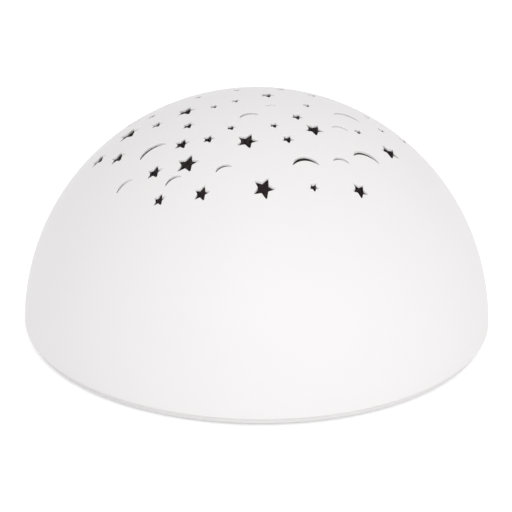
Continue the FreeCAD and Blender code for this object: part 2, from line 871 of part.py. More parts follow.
def battery_lead_start(cell, side):
    """Where a battery lead is soldered along the inner side of its contact's tab."""
    x = side * (bay_half_length - plate_thickness - solder_air - lead_radius)
    return V(x, cell_y(cell) - tab_width / 2, roof_top + lead_rise)


def positive_lead():
    """From the positive tab over the bay's roof and down to its plug."""
    start = battery_lead_start(cell_count - 1, 1)
    end = V(plug_way_x(battery_plug_x, battery_plug_ways, 1), plug_rear, plug_middle_z())
    return lead(
        [
            start, V(start.x, bay_rear + 4, start.z), V(start.x - 3, bay_rear + 10, start.z - 2),
            end - V(0, 7, 0), end,
        ],
        lead_radius,
    )


def negative_lead():
    """From the negative tab along the bay's roof and below the ribbon to its plug."""
    start = battery_lead_start(0, -1)
    end = V(plug_way_x(battery_plug_x, battery_plug_ways, 0), plug_rear, plug_middle_z())
    return lead(
        [
            start, V(start.x, bay_rear + 5, start.z), V(start.x + 4, bay_rear + 12, start.z - 3),
            end - V(22, 6.2, 2.7), end - V(6.5, 6.8, 2.9), end - V(0, 6.8, 0), end,
        ],
        lead_radius,
    )


def led_ribbon():
    """Five thin leads side by side from the lamp board down to their plug."""
    start_z = led_board_bottom - solder_air - ribbon_radius
    leads = []
    for i in range(led_plug_ways):
        x = plug_way_x(led_plug_x, led_plug_ways, i)
        end = V(x, plug_rear, plug_middle_z())
        points = [
            V(x, led_board_radius / 2, start_z), V(x, bay_rear + 4, start_z), end - V(0, 7, 0), end,
        ]
        leads.append(lead(points, ribbon_radius))
    return leads


def control_board():
    """The circuit board over the controls."""
    board = rounded_block(
        -board_width / 2, board_width / 2, board_front, board_rear,
        board_bottom, board_top, board_corner,
    )
    holes = [
        cylinder(board_screw_radius + shank_gap, board_bottom, board_top, x, y)
        for x, y in board_screw_places
    ]
    return board.cut(holes)


def control_board_screws():
    return [
        pan_screw(
            x, y, board_top, board_head_radius, board_head_height,
            board_screw_radius, board_screw_length, up=False,
        )
        for x, y in board_screw_places
    ]


def tact_switch():
    """The press switch's body with a bore for its plunger."""
    half = tact_size / 2
    body = rounded_block(
        button_x - half, button_x + half, controls_y - half, controls_y + half,
        tact_bottom, board_bottom, tact_size / 12,
    )
    bore_top = tact_bottom + tact_plunger_set + button_travel + tact_air
    bore = cylinder(tact_plunger_radius + tact_air, tact_bottom, bore_top, button_x, controls_y)
    return body.cut(bore)


def tact_plunger():
    """The press switch's plunger, which the button's stem pushes."""
    return cylinder(
        tact_plunger_radius, plunger_tip, tact_bottom + tact_plunger_set, button_x, controls_y
    )


def mode_button():
    """The round button on the underside with its flange, stem and dished face."""
    face = plate_bottom + button_recess
    flange_low = plate_top + button_air
    flange_top = flange_low + button_flange_thickness
    cap = cylinder(button_radius, face, flange_low, button_x, controls_y)
    flange = cylinder(button_radius + button_flange, flange_low, flange_top, button_x, controls_y)
    stem = cylinder(button_stem_radius, flange_top, plunger_tip - tact_air, button_x, controls_y)
    dish_middle = V(button_x, controls_y, face + button_dish_depth - button_dish_radius)
    dish = Part.makeSphere(button_dish_radius, dish_middle)
    return cap.fuse([flange, stem]).cut(dish).removeSplitter()


def slide_switch():
    """The slide switch's body with the slot that its lever runs in."""
    body = centred_block(
        slider_x, controls_y, switch_length, switch_width, switch_bottom, board_bottom
    )
    slot_length = lever_width + slider_travel + 2 * tact_air
    slot_top = switch_bottom + lever_set + tact_air
    slot = centred_block(
        slider_x, controls_y, slot_length, lever_width + 2 * tact_air, switch_bottom, slot_top
    )
    return body.cut(slot)


def lever_x():
    """The lever and slider stand at the OFF end of their travel."""
    return slider_x - slider_travel / 2


def switch_lever():
    return centred_block(
        lever_x(), controls_y, lever_width, lever_width, lever_tip, switch_bottom + lever_set
    )


def power_slider():
    """The slider: a plate on the floor, a ribbed grip below it and a socket for the lever."""
    low = plate_top + slider_air
    high = slider_plate_top
    plate = centred_block(lever_x(), controls_y, slider_plate_length, slider_plate_width, low, high)
    face = plate_bottom + button_recess
    grip = centred_block(lever_x(), controls_y, slider_grip_length, slider_grip_width, face, low)
    socket_top = switch_bottom - slider_air
    socket = centred_block(lever_x(), controls_y, slider_socket, slider_socket, high, socket_top)
    pocket_size = lever_width + 2 * slider_air
    pocket_low = lever_tip - slider_air
    cuts = [centred_block(lever_x(), controls_y, pocket_size, pocket_size, pocket_low, socket_top)]
    pitch = slider_grip_length / (slider_grip_ribs + 1)
    for i in range(slider_grip_ribs):
        x = lever_x() + (i - (slider_grip_ribs - 1) / 2) * pitch
        cuts.append(
            centred_block(x, controls_y, pitch / 2, slider_grip_width, face, face + slider_rib_depth)
        )
    return plate.fuse([grip, socket]).cut(cuts).removeSplitter()


def board_place(offset):
    """A place on the control board from its offset to the board's middle."""
    return offset[0], controls_y + offset[1]


def controller_chip():
    """The controller with its two rows of legs."""
    x, y = board_place(chip_place)
    width, depth, height = chip_size
    leg_width, leg_reach, leg_height = chip_leg
    body = centred_block(x, y, width, depth, board_top + leg_height / 2, board_top + height)
    legs = []
    for i in range(chip_leg_count):
        leg_x = x + (i - (chip_leg_count - 1) / 2) * chip_leg_pitch
        legs.append(
            centred_block(
                leg_x, y, leg_width, depth + 2 * leg_reach, board_top, board_top + leg_height
            )
        )
    return body.fuse(legs).removeSplitter()


def capacitor():
    """The upright can capacitor with its rolled top edge."""
    x, y = board_place(capacitor_place)
    can = cylinder(capacitor_radius, board_top, board_top + capacitor_height, x, y)
    rim = [e for e in can.Edges if abs(e.BoundBox.ZMin - board_top - capacitor_height) < 1e-6]
    return can.makeFillet(capacitor_radius / 8, rim)


def chip_resistors():
    """A row of small resistors."""
    x, y = board_place(resistor_place)
    width, depth, height = resistor_size
    return [
        centred_block(x + i * resistor_pitch, y, width, depth, board_top, board_top + height)
        for i in range(resistor_count)
    ]


def plug_plan():
    return [(battery_plug_x, battery_plug_ways), (led_plug_x, led_plug_ways)]


def board_sockets():
    """Two side entry sockets, open to the front."""
    sockets = []
    for x, ways in plug_plan():
        half = ways * way_pitch / 2 + socket_wall + plug_air
        rear = socket_front + socket_depth
        body = block(x - half, x + half, socket_front, rear, board_top, board_top + socket_height)
        room = half - socket_wall
        inside = block(
            x - room, x + room, socket_front, rear - socket_wall,
            board_top + socket_wall, board_top + socket_height - socket_wall,
        )
        sockets.append(body.cut(inside))
    return sockets


def wire_plugs():
    """The two plugs that the leads end in, each seated in its socket."""
    plugs = []
    for x, ways in plug_plan():
        half = ways * way_pitch / 2
        plugs.append(
            block(
                x - half, x + half, plug_rear, socket_front + socket_depth - socket_wall - plug_air,
                board_top + socket_wall + plug_air,
                board_top + socket_height - socket_wall - plug_air,
            )
        )
    return plugs


def light_deck():
    """The pale cover over the works, which also carries the lamp board and its lens."""
    reach = math.sqrt(skirt_radius**2 - (deck_underside + deck_thickness - dome_centre_z) ** 2)
    deck = cylinder(reach - deck_wall_gap, deck_underside, deck_top)
    bosses = [
        cylinder(led_boss_radius, led_board_top, deck_underside, x, 0)
        for x in (-led_screw_spread / 2, led_screw_spread / 2)
    ]
    cuts = [cylinder(lens_radius + lens_gap, deck_underside, deck_top)]
    for p in dome_screw_places():
        cuts.append(
            cylinder(dome_boss_radius + deck_notch_gap, deck_underside, deck_top, p.x, p.y)
        )
        outward = V(p).normalize()
        rib_notch = block(
            0, dome_radius, -dome_rib / 2 - deck_notch_gap, dome_rib / 2 + deck_notch_gap,
            deck_underside, deck_top,
        )
        rib_notch.rotate(V(0, 0, 0), UP, math.degrees(math.atan2(outward.y, outward.x)))
        rib_notch.translate(V(p.x, p.y, 0))
        cuts.append(rib_notch)
    for p in deck_post_places():
        cuts.append(cylinder(deck_screw_radius + shank_gap, deck_underside, deck_top, p.x, p.y))
    for x in (-led_screw_spread / 2, led_screw_spread / 2):
        top = led_board_bottom + led_screw_length
        cuts.append(cylinder(led_screw_radius, led_board_top, top, x, 0))
    return deck.fuse(bosses).cut(cuts).removeSplitter()


def deck_screws():
    return [
        pan_screw(
            p.x, p.y, deck_top, deck_head_radius, deck_head_height,
            deck_screw_radius, deck_screw_length, up=False,
        )
        for p in deck_post_places()
    ]


def lamp_board():
    """The round board that carries the light emitting diodes."""
    board = cylinder(led_board_radius, led_board_bottom, led_board_top)
    holes = [
        cylinder(led_screw_radius + shank_gap, led_board_bottom, led_board_top, x, 0)
        for x in (-led_screw_spread / 2, led_screw_spread / 2)
    ]
    return board.cut(holes)


def lamp_board_screws():
    return [
        pan_screw(
            x, 0, led_board_bottom, led_head_radius, led_head_height,
            led_screw_radius, led_screw_length,
        )
        for x in (-led_screw_spread / 2, led_screw_spread / 2)
    ]


def diode(x, y):
    """One surface diode with a round well in its top."""
    body = centred_block(x, y, led_size, led_size, led_board_top, led_board_top + led_height)
    well = cylinder(
        led_size * 0.38, led_board_top + led_height * 0.6, led_board_top + led_height, x, y
    )
    return body.cut(well)


def colour_diodes():
    return [diode(-led_offset, led_offset), diode(-led_offset, -led_offset), diode(led_offset, led_offset)]


def white_diode():
    return diode(led_offset, -led_offset)


def lens_body(radius, bottom):
    """A straight neck with a half ball on it."""
    neck_top = deck_underside + lens_straight
    neck = cylinder(radius, bottom, neck_top)
    return neck.fuse(Part.makeSphere(radius, V(0, 0, neck_top))).removeSplitter()


def lamp_lens():
    """The frosted cap over the diodes, its flange held between deck and board."""
    flange = cylinder(lens_radius + lens_flange, led_board_top, deck_underside)
    above = cylinder(2 * lens_radius, led_board_top, deck_top + 4 * lens_radius)
    outer = lens_body(lens_radius, led_board_top).common(above)
    inner = lens_body(lens_radius - lens_wall, led_board_top)
    return outer.fuse(flange).cut(inner).removeSplitter()


def thinnest_bridge():
    """The least plastic left between two cut-outs, measured between their plan outlines."""
    cutters = field_cutters()
    near = 2 * max(moon_chords.values())
    gaps = []
    for i, cutter in enumerate(cutters):
        for other in cutters[i + 1:]:
            if (cutter.CenterOfMass - other.CenterOfMass).Length < near:
                gaps.append(cutter.distToShape(other)[0])
    return min(gaps)


def sub_parts():
    """Every node's name and its solids."""
    nodes = {
        "dome_shell": dome_shell(),
        "base_plate": base_plate(),
        "battery_door": battery_door(),
        "battery_door_screw": battery_door_screw(),
        "screw_retainer": screw_retainer(),
        "rubber_feet": rubber_feet(),
        "dome_screws": dome_screws(),
        "contact_springs": contact_springs(),
        "control_board": control_board(),
        "control_board_screws": control_board_screws(),
        "tact_switch": tact_switch(),
        "tact_plunger": tact_plunger(),
        "mode_button": mode_button(),
        "slide_switch": slide_switch(),
        "switch_lever": switch_lever(),
        "power_slider": power_slider(),
        "controller_chip": controller_chip(),
        "capacitor": capacitor(),
        "chip_resistors": chip_resistors(),
        "board_sockets": board_sockets(),
        "wire_plugs": wire_plugs(),
        "positive_lead": positive_lead(),
        "negative_lead": negative_lead(),
        "led_ribbon": led_ribbon(),
        "light_deck": light_deck(),
        "deck_screws": deck_screws(),
        "lamp_board": lamp_board(),
        "lamp_board_screws": lamp_board_screws(),
        "colour_diodes": colour_diodes(),
        "white_diode": white_diode(),
        "lamp_lens": lamp_lens(),
    }
    for i in range(cell_count):
        nodes[f"battery_cell_{i + 1}"] = battery_cell(i)
    for contact in contact_plan():
        nodes[f"{contact['name']}_contact"] = contact_plate(contact)
    return nodes


def export(name, shape):
    """Writes a node's solids to its STEP file."""
    shapes = shape if isinstance(shape, list) else [shape]
    solids = [solid for s in shapes for solid in s.Solids]
    whole = solids[0] if len(solids) == 1 else Part.makeCompound(solids)
    whole.exportStep(f"parts/{name}.step")
    print(name, len(solids), "valid" if whole.isValid() else "INVALID", round(whole.Volume, 1))


def main():
    os.makedirs("parts", exist_ok=True)
    for name, shape in sub_parts().items():
        export(name, shape)
    print("thinnest bridge between cut-outs", round(thinnest_bridge(), 2))
    print("least gap between spring turns", round(spring_air_gap(), 2))


main()
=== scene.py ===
import json
import math

import bpy
import numpy as np
from mathutils import Matrix, Vector
from mathutils.geometry import delaunay_2d_cdt


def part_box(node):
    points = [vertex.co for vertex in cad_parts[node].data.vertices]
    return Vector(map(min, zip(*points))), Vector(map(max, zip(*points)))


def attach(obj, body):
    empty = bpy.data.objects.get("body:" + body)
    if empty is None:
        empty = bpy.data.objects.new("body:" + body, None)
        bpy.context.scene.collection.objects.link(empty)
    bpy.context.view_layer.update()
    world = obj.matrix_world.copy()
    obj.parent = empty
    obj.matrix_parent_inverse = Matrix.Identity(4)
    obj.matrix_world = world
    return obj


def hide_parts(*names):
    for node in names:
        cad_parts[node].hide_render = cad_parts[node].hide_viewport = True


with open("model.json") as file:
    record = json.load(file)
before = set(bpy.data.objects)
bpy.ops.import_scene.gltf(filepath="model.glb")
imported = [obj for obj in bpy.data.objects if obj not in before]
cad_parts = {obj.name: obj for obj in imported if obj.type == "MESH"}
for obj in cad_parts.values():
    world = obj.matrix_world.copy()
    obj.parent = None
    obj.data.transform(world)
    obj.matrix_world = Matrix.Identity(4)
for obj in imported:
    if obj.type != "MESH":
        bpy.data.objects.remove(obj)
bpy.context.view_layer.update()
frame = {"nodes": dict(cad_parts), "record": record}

bl_info = {
    "name": "Star Night Light",
    "version": (1, 0, 0),
    "blender": (4, 5, 0),
    "location": "3D View > Sidebar > Night Light",
    "description": "Builds the dome with its cut-outs, finishes the pieces and sets the stage",
    "category": "Object",
}

MM = 0.001
FULL_TURN = 2 * math.pi

# How finely the dome is divided
FIELD_SPACING = 2.2 * MM  # between two points of the star field
FIELD_RIM_GAP = 0.6  # of that spacing, kept free along the field's rim
FIELD_CUT_GAP = 0.45  # of that spacing, kept free round every cut-out
DOME_STEPS = 360  # round the dome
BOSS_STEPS = 48  # round a screw boss
RIB_STEPS = 14  # along a boss's rib
OUTSIDE_STEPS = 40  # down the outside below the star field
INSIDE_STEPS = 32  # down the inside
EDGE_STEPS = 7  # round the lower edge
WHOLE_FIELD = 0  # the dividing gives triangles over the whole field, holes too
POINT_GAP = 1e-6  # millimetres, under which the dividing takes two points for one
MERGE_STEPS = 1e5  # in a millimetre; points on the same step are merged

# How the bosses and ribs run into the skirt's wall
WALL_BITE = 0.6  # of the wall's thickness
RIB_BACK = 0.2 * MM  # that a rib's end stands back from there

BOSS_COUNT = 4
FIRST_BOSS = 45  # degrees round from +X
RIBBON_LEADS = 5
LEAD_ROUNDNESS = 6  # gives a lead's section 16 sides

# The cells' film and the diodes' resin
FILM_RING_PLACE = 9 * MM  # from a cell's end to its pale ring
FILM_RING_HALF = 1.2 * MM  # half the ring's width
FILM_END = 2.2 * MM  # from a cell's end to its film
FILM_RING_COLOUR = "#d8dadc"
CELL_STEEL = "#c4c6c8"
RESIN_RADIUS = 1.15 * MM
RESIN_COLOUR = "#e6dc9a"

# Noise stays mostly between these two values
NOISE_LOW, NOISE_HIGH = 0.3, 0.7

# The stage
FLOOR_RADIUS = 4.0  # metres
FLOOR_STEPS = 64
FLOOR_COLOUR = "#f7f7f7"
FLOOR_LIFT = 0.38  # light that the floor gives off where it is seen, so that it shows as white
SENSOR_WIDTH = 36.0  # millimetres, as the camera takes it
# Softboxes: name, degrees from the front towards +X, degrees over the horizon
SOFTBOXES = (("front_light", 0.0, 35.0), ("side_light", 40.0, 18.0))

# Cut-out stars by size: degrees from the pole, degrees round from +X
STARS = {
    "large": ((32, -87.5), (28, -129), (17, -99.5), (33.5, 174), (31, 76), (28, 113)),
    "big": ((16.5, -35.5), (34, -9.5), (18, 173.5), (38.5, 47)),
    "medium": (
        (35, -114), (33.5, -141.5), (23.5, -143.5), (37, -45.5), (37, -169), (42.5, 180), (7.5, 75),
        (26, 48.5), (30.5, 142), (38.5, 121), (39.5, 86),
    ),
    "small": (
        (39.5, -130), (19, -130), (17, -65.5), (10.5, -29), (18.5, -159), (25.5, 180), (17, 72),
        (19.5, 47.5), (38, 155), (34.5, 97), (40, 16.5),
    ),
    "tiny": (
        (13, -121), (33, -65), (11, -70.5), (25, -8), (32, 10.5), (12, 14), (6.5, 152), (28.5, 162),
        (19.5, 141), (11, 175), (24.5, 85), (15, 112), (30.5, 24.5), (37.5, 67), (36.5, 137), (42, 104),
    ),
}
# Cut-out moons by size: degrees from the pole, degrees round from +X
MOONS = {
    "wide": ((26.5, -63.5), (29.5, -153.5), (31, -28.5), (22, 5.5), (32.5, 59.5), (22, 122)),
    "middle": ((7, -109), (35.5, 34), (34, 129)),
    "narrow": (
        (27.5, -108), (28.5, -43.5), (34, -129), (40.5, -149), (21, -17), (26, 97), (33, 157), (36, 109),
    ),
    "short": ((3, -16), (22, 65)),
}

# Routes of the leads in metres, as in the solids' source: from the tab or the lamp to the plug
POSITIVE_ROUTE = (
    (0.0265, 0.0035, 0.0211), (0.0265, 0.0167, 0.0211), (0.0235, 0.0227, 0.0191),
    (0.0120, 0.0270, 0.0165), (0.0120, 0.0340, 0.0165),
)
NEGATIVE_ROUTE = (
    (-0.0265, -0.0265, 0.0211), (-0.0265, 0.0177, 0.0211), (-0.0225, 0.0247, 0.0181),
    (-0.0120, 0.0278, 0.0138), (0.0035, 0.0272, 0.0136), (0.0100, 0.0272, 0.0165),
    (0.0100, 0.0340, 0.0165),
)
RIBBON_ROUTE = ((0.0070, 0.02125), (0.0167, 0.02125), (0.0270, 0.0165), (0.0340, 0.0165))


# Settings

def linear(hex_colour):
    """A colour's three linear values from its sRGB hex text."""
    srgb = np.array([int(hex_colour[i:i + 2], 16) / 255 for i in (1, 3, 5)])
    low, high = srgb / 12.92, ((srgb + 0.055) / 1.055) ** 2.4
    return tuple(float(v) for v in np.where(srgb <= 0.04045, low, high))


def length(name, description, millimetres):
    """A property for a length, given in millimetres and kept in metres."""
    return bpy.props.FloatProperty(name=name, description=description, default=millimetres * MM,
                                   min=0.0, precision=5, unit="LENGTH")


def angle(name, description, degrees):
    """A property for an angle, given in degrees and kept in radians."""
    return bpy.props.FloatProperty(name=name, description=description,
                                   default=math.radians(degrees), subtype="ANGLE")


def share(name, description, value):
    """A property for a share of something, from 0 to 1."""
    return bpy.props.FloatProperty(name=name, description=description, default=value,
                                   min=0.0, max=1.0, subtype="FACTOR")


def colour(name, description, hex_colour):
    """A property for a surface colour."""
    return bpy.props.FloatVectorProperty(name=name, description=description, size=3, min=0.0, max=1.0,
                                         default=linear(hex_colour), subtype="COLOR")


class NightLightDomeSizes(bpy.types.PropertyGroup):
    """Sizes of the dome moulding."""
    radius: length("Dome radius", "Radius of the outer sphere", 80.0)
    sink: length("Centre below edge", "How far the sphere's centre lies below the dome's lower edge", 0.7)
    skirt_wall: length("Skirt wall", "Wall below the star field", 2.2)
    crown_wall: length("Crown wall", "Wall in the star field", 0.8)
    field_angle: angle("Field angle", "From the pole to where the wall thickens", 50.0)
    field_blend: angle("Field blend", "Angle over which the wall thickens", 3.0)
    edge_round: length("Edge round", "Rounding of the lower outer edge", 0.5)
    cut_round: length("Cut round", "Rounding of the cut-outs' outer edges", 0.35)
    tip_round: length("Tip round", "Radius in the points of the stars", 0.26)
    horn_round: length("Horn round", "Radius in the points of the moons", 0.12)
    notch_round: length("Notch round", "Radius of the plastic between two points of a star", 0.45)
    boss_radius: length("Boss radius", "Outer radius of the four screw bosses", 3.5)
    boss_circle: length("Boss circle", "Radius of the circle that the bosses stand on", 70.0)
    boss_foot: length("Boss foot", "Height of the bosses' lower faces", 6.0)
    boss_hole_radius: length("Boss hole radius", "Radius of the screw holes", 1.5)
    boss_hole_top: length("Boss hole top", "Height at which the screw holes end", 16.2)
    rib_width: length("Rib width", "Thickness of the ribs between boss and skirt", 2.0)
    rib_foot: length("Rib foot", "Height of the ribs' lower edges", 10.0)


class NightLightPatternSizes(bpy.types.PropertyGroup):
    """Sizes of the stars and moons that are cut through the dome."""
    large: length("Large star", "Centre to point", 4.1)
    big: length("Big star", "Centre to point", 3.7)
    medium: length("Medium star", "Centre to point", 3.0)
    small: length("Small star", "Centre to point", 2.4)
    tiny: length("Tiny star", "Centre to point", 1.9)
    notch: share("Star notch", "Inner corner over outer corner", 0.47)
    star_turn: angle("Star turn", "Direction of one point of every star, from +X", -3.0)
    wide: length("Wide moon", "Tip to tip", 9.2)
    middle: length("Middle moon", "Tip to tip", 6.8)
    narrow: length("Narrow moon", "Tip to tip", 5.6)
    short: length("Short moon", "Tip to tip", 3.6)
    outer_bow: share("Outer bow", "Height of the outer arc over the chord", 0.4)
    inner_bow: share("Inner bow", "Height of the inner arc over the chord", 0.2)
    moon_turn: angle("Moon turn", "Direction of every moon's chord, from +X", 14.0)


class NightLightLeadSizes(bpy.types.PropertyGroup):
    """Sizes of the soft leads inside."""
    battery_diameter: length("Battery lead", "Diameter of the two battery leads", 1.4)
    ribbon_diameter: length("Ribbon lead", "Diameter of each lead of the ribbon", 1.0)
    ribbon_pitch: length("Ribbon pitch", "From one lead of the ribbon to the next", 2.0)
    ribbon_middle: bpy.props.FloatProperty(name="Ribbon middle", description="Place of its middle along X",
                                           default=-0.001, precision=5, unit="LENGTH")


class NightLightColours(bpy.types.PropertyGroup):
    """Colours of the finishes, as they show under plain light."""
    dome: colour("Dome", "White ABS of the dome", "#f0eeee")
    base: colour("Base", "White ABS of the base plate and the battery door", "#e9e7e7")
    deck: colour("Deck", "Pale ABS of the deck inside", "#d2bfc6")
    control: colour("Controls", "Grey ABS of the slider and the mode button", "#b9bcc0")
    switch: colour("Switches", "Black nylon of the two switches", "#1b1b1c")
    foot: colour("Feet", "Silicone rubber of the feet", "#d9d8d4")
    screw: colour("Screws", "Zinc plated steel", "#b4b6b8")
    spring: colour("Springs", "Nickel plated steel of springs and contacts", "#c9cbcd")
    board: colour("Control board", "Green solder mask", "#1f5c39")
    lamp_board: colour("Lamp board", "White solder mask", "#eceae4")
    chip: colour("Chip", "Black moulded epoxy", "#202022")
    capacitor: colour("Capacitor", "Dark shrunk PVC sleeve", "#20242c")
    resistor: colour("Resistors", "Glazed ceramic", "#2a2a2c")
    connector: colour("Connectors", "Natural nylon", "#ece9de")
    red_lead: colour("Red lead", "Red PVC sleeve", "#b3201f")
    black_lead: colour("Black lead", "Black PVC sleeve", "#1d1d1f")
    grey_lead: colour("Ribbon", "Grey PVC sleeve", "#8d9094")
    diode: colour("Diodes", "White moulded body", "#f1efe8")
    lens: colour("Lens", "Frosted polycarbonate", "#e4e9ec")
    cell: colour("Cells", "Grey printed film", "#5b6068")


class NightLightStage(bpy.types.PropertyGroup):
    """Camera and light."""
    elevation: angle("Elevation", "Height of the camera over the horizon", 24.4)
    roll: angle("Roll", "Turn of the camera about its own line of sight", 0.62)
    distance: length("Distance", "From the camera to the point it looks at", 1487.0)
    focal_length: bpy.props.FloatProperty(name="Focal length", description="Lens on a 36 mm sensor",
                                          default=305.5, min=1.0, unit="CAMERA")
    aim: bpy.props.FloatVectorProperty(name="Aim", description="Point that the camera looks at", size=3,
                                       default=(-0.00045, -0.00416, 0.02784), subtype="TRANSLATION")
    sky: bpy.props.FloatProperty(name="Sky", description="Light from all round", default=0.785, min=0.0)
    front_light: bpy.props.FloatProperty(name="Front light", description="Softbox over the camera",
                                         default=8.5, min=0.0, unit="POWER")
    side_light: bpy.props.FloatProperty(name="Side light", description="Softbox on the right",
                                        default=5.5, min=0.0, unit="POWER")
    light_size: length("Light size", "Across each softbox", 1600.0)
    light_distance: length("Light distance", "From the object to each softbox", 2200.0)


# Surfaces

def unit(angles):
    """Points on the unit circle: cosine and sine of each angle."""
    return np.stack([np.cos(angles), np.sin(angles)], axis=-1)


def star_outline(reach, notch, turn, tip_round, notch_round, steps=6):
    """A five-pointed star with rounded corners, anticlockwise, and its outward directions.

    The ten corners stand every 36 degrees at the reach and at notch times the reach in turn. Each corner is
    an arc that touches both its edges: it starts at radius times tan(half the turn) before the corner, and
    its points are the arc's centre plus or minus the radius times the outward direction.
    """
    step = np.arange(10)
    corner = unit(turn + step * math.pi / 5) * np.where(step % 2, notch, 1.0)[:, None] * reach
    radius = np.where(step % 2, notch_round, tip_round)
    side = np.where(step % 2, -1.0, 1.0)
    run = corner - np.roll(corner, 1, axis=0)
    heading = np.arctan2(run[:, 1], run[:, 0])
    swing = (np.roll(heading, -1) - heading + math.pi) % FULL_TURN - math.pi
    start = corner - unit(heading) * (radius * np.tan(np.abs(swing) / 2))[:, None]
    outward = unit(heading[:, None] - math.pi / 2 + swing[:, None] * np.linspace(0, 1, steps))
    reach_out = (side * radius)[:, None]
    centre = start - outward[:, 0] * reach_out
    points = centre[:, None] + outward * reach_out[:, None]
    return points.reshape(-1, 2), outward.reshape(-1, 2)


def moon_outline(chord, outer_bow, inner_bow, turn, tip_round, steps=28, tip_steps=7):
    """A crescent with rounded tips, anticlockwise, and its outward directions.

    Both arcs stand on one chord; an arc of height h over a chord c has the radius (c*c/4 + h*h) / 2h. Each
    tip is a small circle inside the outer arc and outside the inner one. All four arcs are a centre plus a
    radius times the direction, which turns on evenly, and the inner arc's radius counts as negative.
    """
    heights = np.array([outer_bow, inner_bow]) * chord
    radii = (chord ** 2 / 4 + heights ** 2) / (2 * heights)
    low = heights - radii
    far, near = radii[0] - tip_round, radii[1] + tip_round
    y = (far ** 2 - near ** 2 - low[0] ** 2 + low[1] ** 2) / (2 * (low[1] - low[0]))
    x = math.sqrt(far ** 2 - (y - low[0]) ** 2)
    outer_end, inner_end = math.atan2(y - low[0], x), math.atan2(y - low[1], x)
    arcs = (
        ((0, low[0]), radii[0], outer_end, math.pi - outer_end, steps),
        ((-x, y), tip_round, math.pi - outer_end, FULL_TURN - inner_end, tip_steps),
        ((0, low[1]), -radii[1], FULL_TURN - inner_end, math.pi + inner_end, steps),
        ((x, y), tip_round, math.pi + inner_end, FULL_TURN + outer_end, tip_steps),
    )
    points, outward = [], []
    for centre, radius, begin, end, count in arcs:
        direction = unit(np.linspace(begin, end, count, endpoint=False))
        points.append(np.array(centre) + radius * direction)
        outward.append(direction)
    turned = np.array([unit(turn), unit(turn + math.pi / 2)])
    return np.concatenate(points) @ turned, np.concatenate(outward) @ turned


def cut_outlines(pattern, dome):
    """Every cut-out's outline in plan with its outward directions.

    A cut-out's middle lies at the dome's radius times the sine of its angle from the pole, in its direction
    round the pole.
    """
    def star(size):
        return star_outline(getattr(pattern, size), pattern.notch, pattern.star_turn, dome.tip_round,
                            dome.notch_round)

    def moon(size):
        return moon_outline(getattr(pattern, size), pattern.outer_bow, pattern.inner_bow,
                            pattern.moon_turn, dome.horn_round)

    outlines = []
    for shapes, outline in ((STARS, star), (MOONS, moon)):
        for size, places in shapes.items():
            points, outward = outline(size)
            for down, around in places:
                middle = unit(math.radians(around)) * dome.radius * math.sin(math.radians(down))
                outlines.append((points + middle, outward))
    return outlines


def on_sphere(plan, radius, centre_z):
    """Plan points lifted to the sphere: z is the centre's height plus the root of R*R - x*x - y*y."""
    height = centre_z + np.sqrt(radius ** 2 - (plan ** 2).sum(axis=-1))
    return np.concatenate([plan, height[..., None]], axis=-1)


def grid_faces(rows, columns, closed):
    """Quads between the rows and columns of a grid of points, anticlockwise from row 0 to column 1."""
    across = columns if closed else columns - 1
    row, column = np.meshgrid(np.arange(rows - 1), np.arange(across), indexing="ij")
    beside = (column + 1) % columns
    quads = np.stack([row * columns + column, (row + 1) * columns + column,
                      (row + 1) * columns + beside, row * columns + beside], axis=-1)
    return quads.reshape(-1, 4)


def within(points, loop):
    """Which plan points lie inside a loop: a line to their right crosses it an odd number of times."""
    a, b = loop[None], np.roll(loop, -1, axis=0)[None]
    x, y = points[:, None, 0], points[:, None, 1]
    spans = (a[..., 1] > y) != (b[..., 1] > y)
    rise = np.where(spans, b[..., 1] - a[..., 1], 1.0)
    crossing = a[..., 0] + (b[..., 0] - a[..., 0]) * (y - a[..., 1]) / rise
    return (spans & (x < crossing)).sum(axis=1) % 2 == 1


def cap_patch(rim, loops, radius, centre_z, outer):
    """One face of the star field: a spherical cap with a hole for every loop.

    Its points are the rim, the loops and a grid of even triangles in plan, all lifted to the sphere, and it
    is divided in plan by triangles that keep the rim and the loops as edges.
    """
    reach = np.linalg.norm(rim, axis=1).min()
    count = int(reach / FIELD_SPACING) + 2
    row, column = np.meshgrid(np.arange(-2 * count, 2 * count + 1), np.arange(-count, count + 1))
    grid = [(column + row % 2 / 2) * FIELD_SPACING, row * FIELD_SPACING * math.sqrt(0.75)]
    inner = np.stack(grid, axis=-1).reshape(-1, 2)
    inner = inner[np.linalg.norm(inner, axis=1) < reach - FIELD_SPACING * FIELD_RIM_GAP]
    edge_points = np.concatenate(loops)
    gap = np.linalg.norm(inner[:, None] - edge_points[None], axis=2).min(axis=1)
    inner = inner[gap > FIELD_SPACING * FIELD_CUT_GAP]
    for loop in loops:
        inner = inner[~within(inner, loop)]
    rings = [rim] + loops
    starts = np.cumsum([0] + [len(ring) for ring in rings])
    edges = np.concatenate([np.stack([a + np.arange(len(ring)), a + (np.arange(len(ring)) + 1) % len(ring)],
                                     axis=1) for a, ring in zip(starts, rings)])
    plan = np.concatenate(rings + [inner])
    found = delaunay_2d_cdt((plan / MM).tolist(), edges.tolist(), [], WHOLE_FIELD, POINT_GAP)
    if len(found[0]) != len(plan):
        raise RuntimeError("the star field's outlines cross or touch")
    source = np.array([sources[0] for sources in found[3]])
    faces = source[np.array(found[2])]
    for start, loop in zip(starts[1:], loops):
        own = ((faces >= start) & (faces < start + len(loop))).all(axis=1)
        own[own] = within(plan[faces[own]].mean(axis=1), loop)
        faces = faces[~own]
    points = on_sphere(plan, radius, centre_z)
    normals = (points - (0, 0, centre_z)) / radius
    a, b, c = plan[faces[:, 0]], plan[faces[:, 1]], plan[faces[:, 2]]
    turning = np.cross(b - a, c - a)
    faces = np.where((turning > 0)[:, None] == outer, faces, faces[:, ::-1])
    return points, normals if outer else -normals, faces


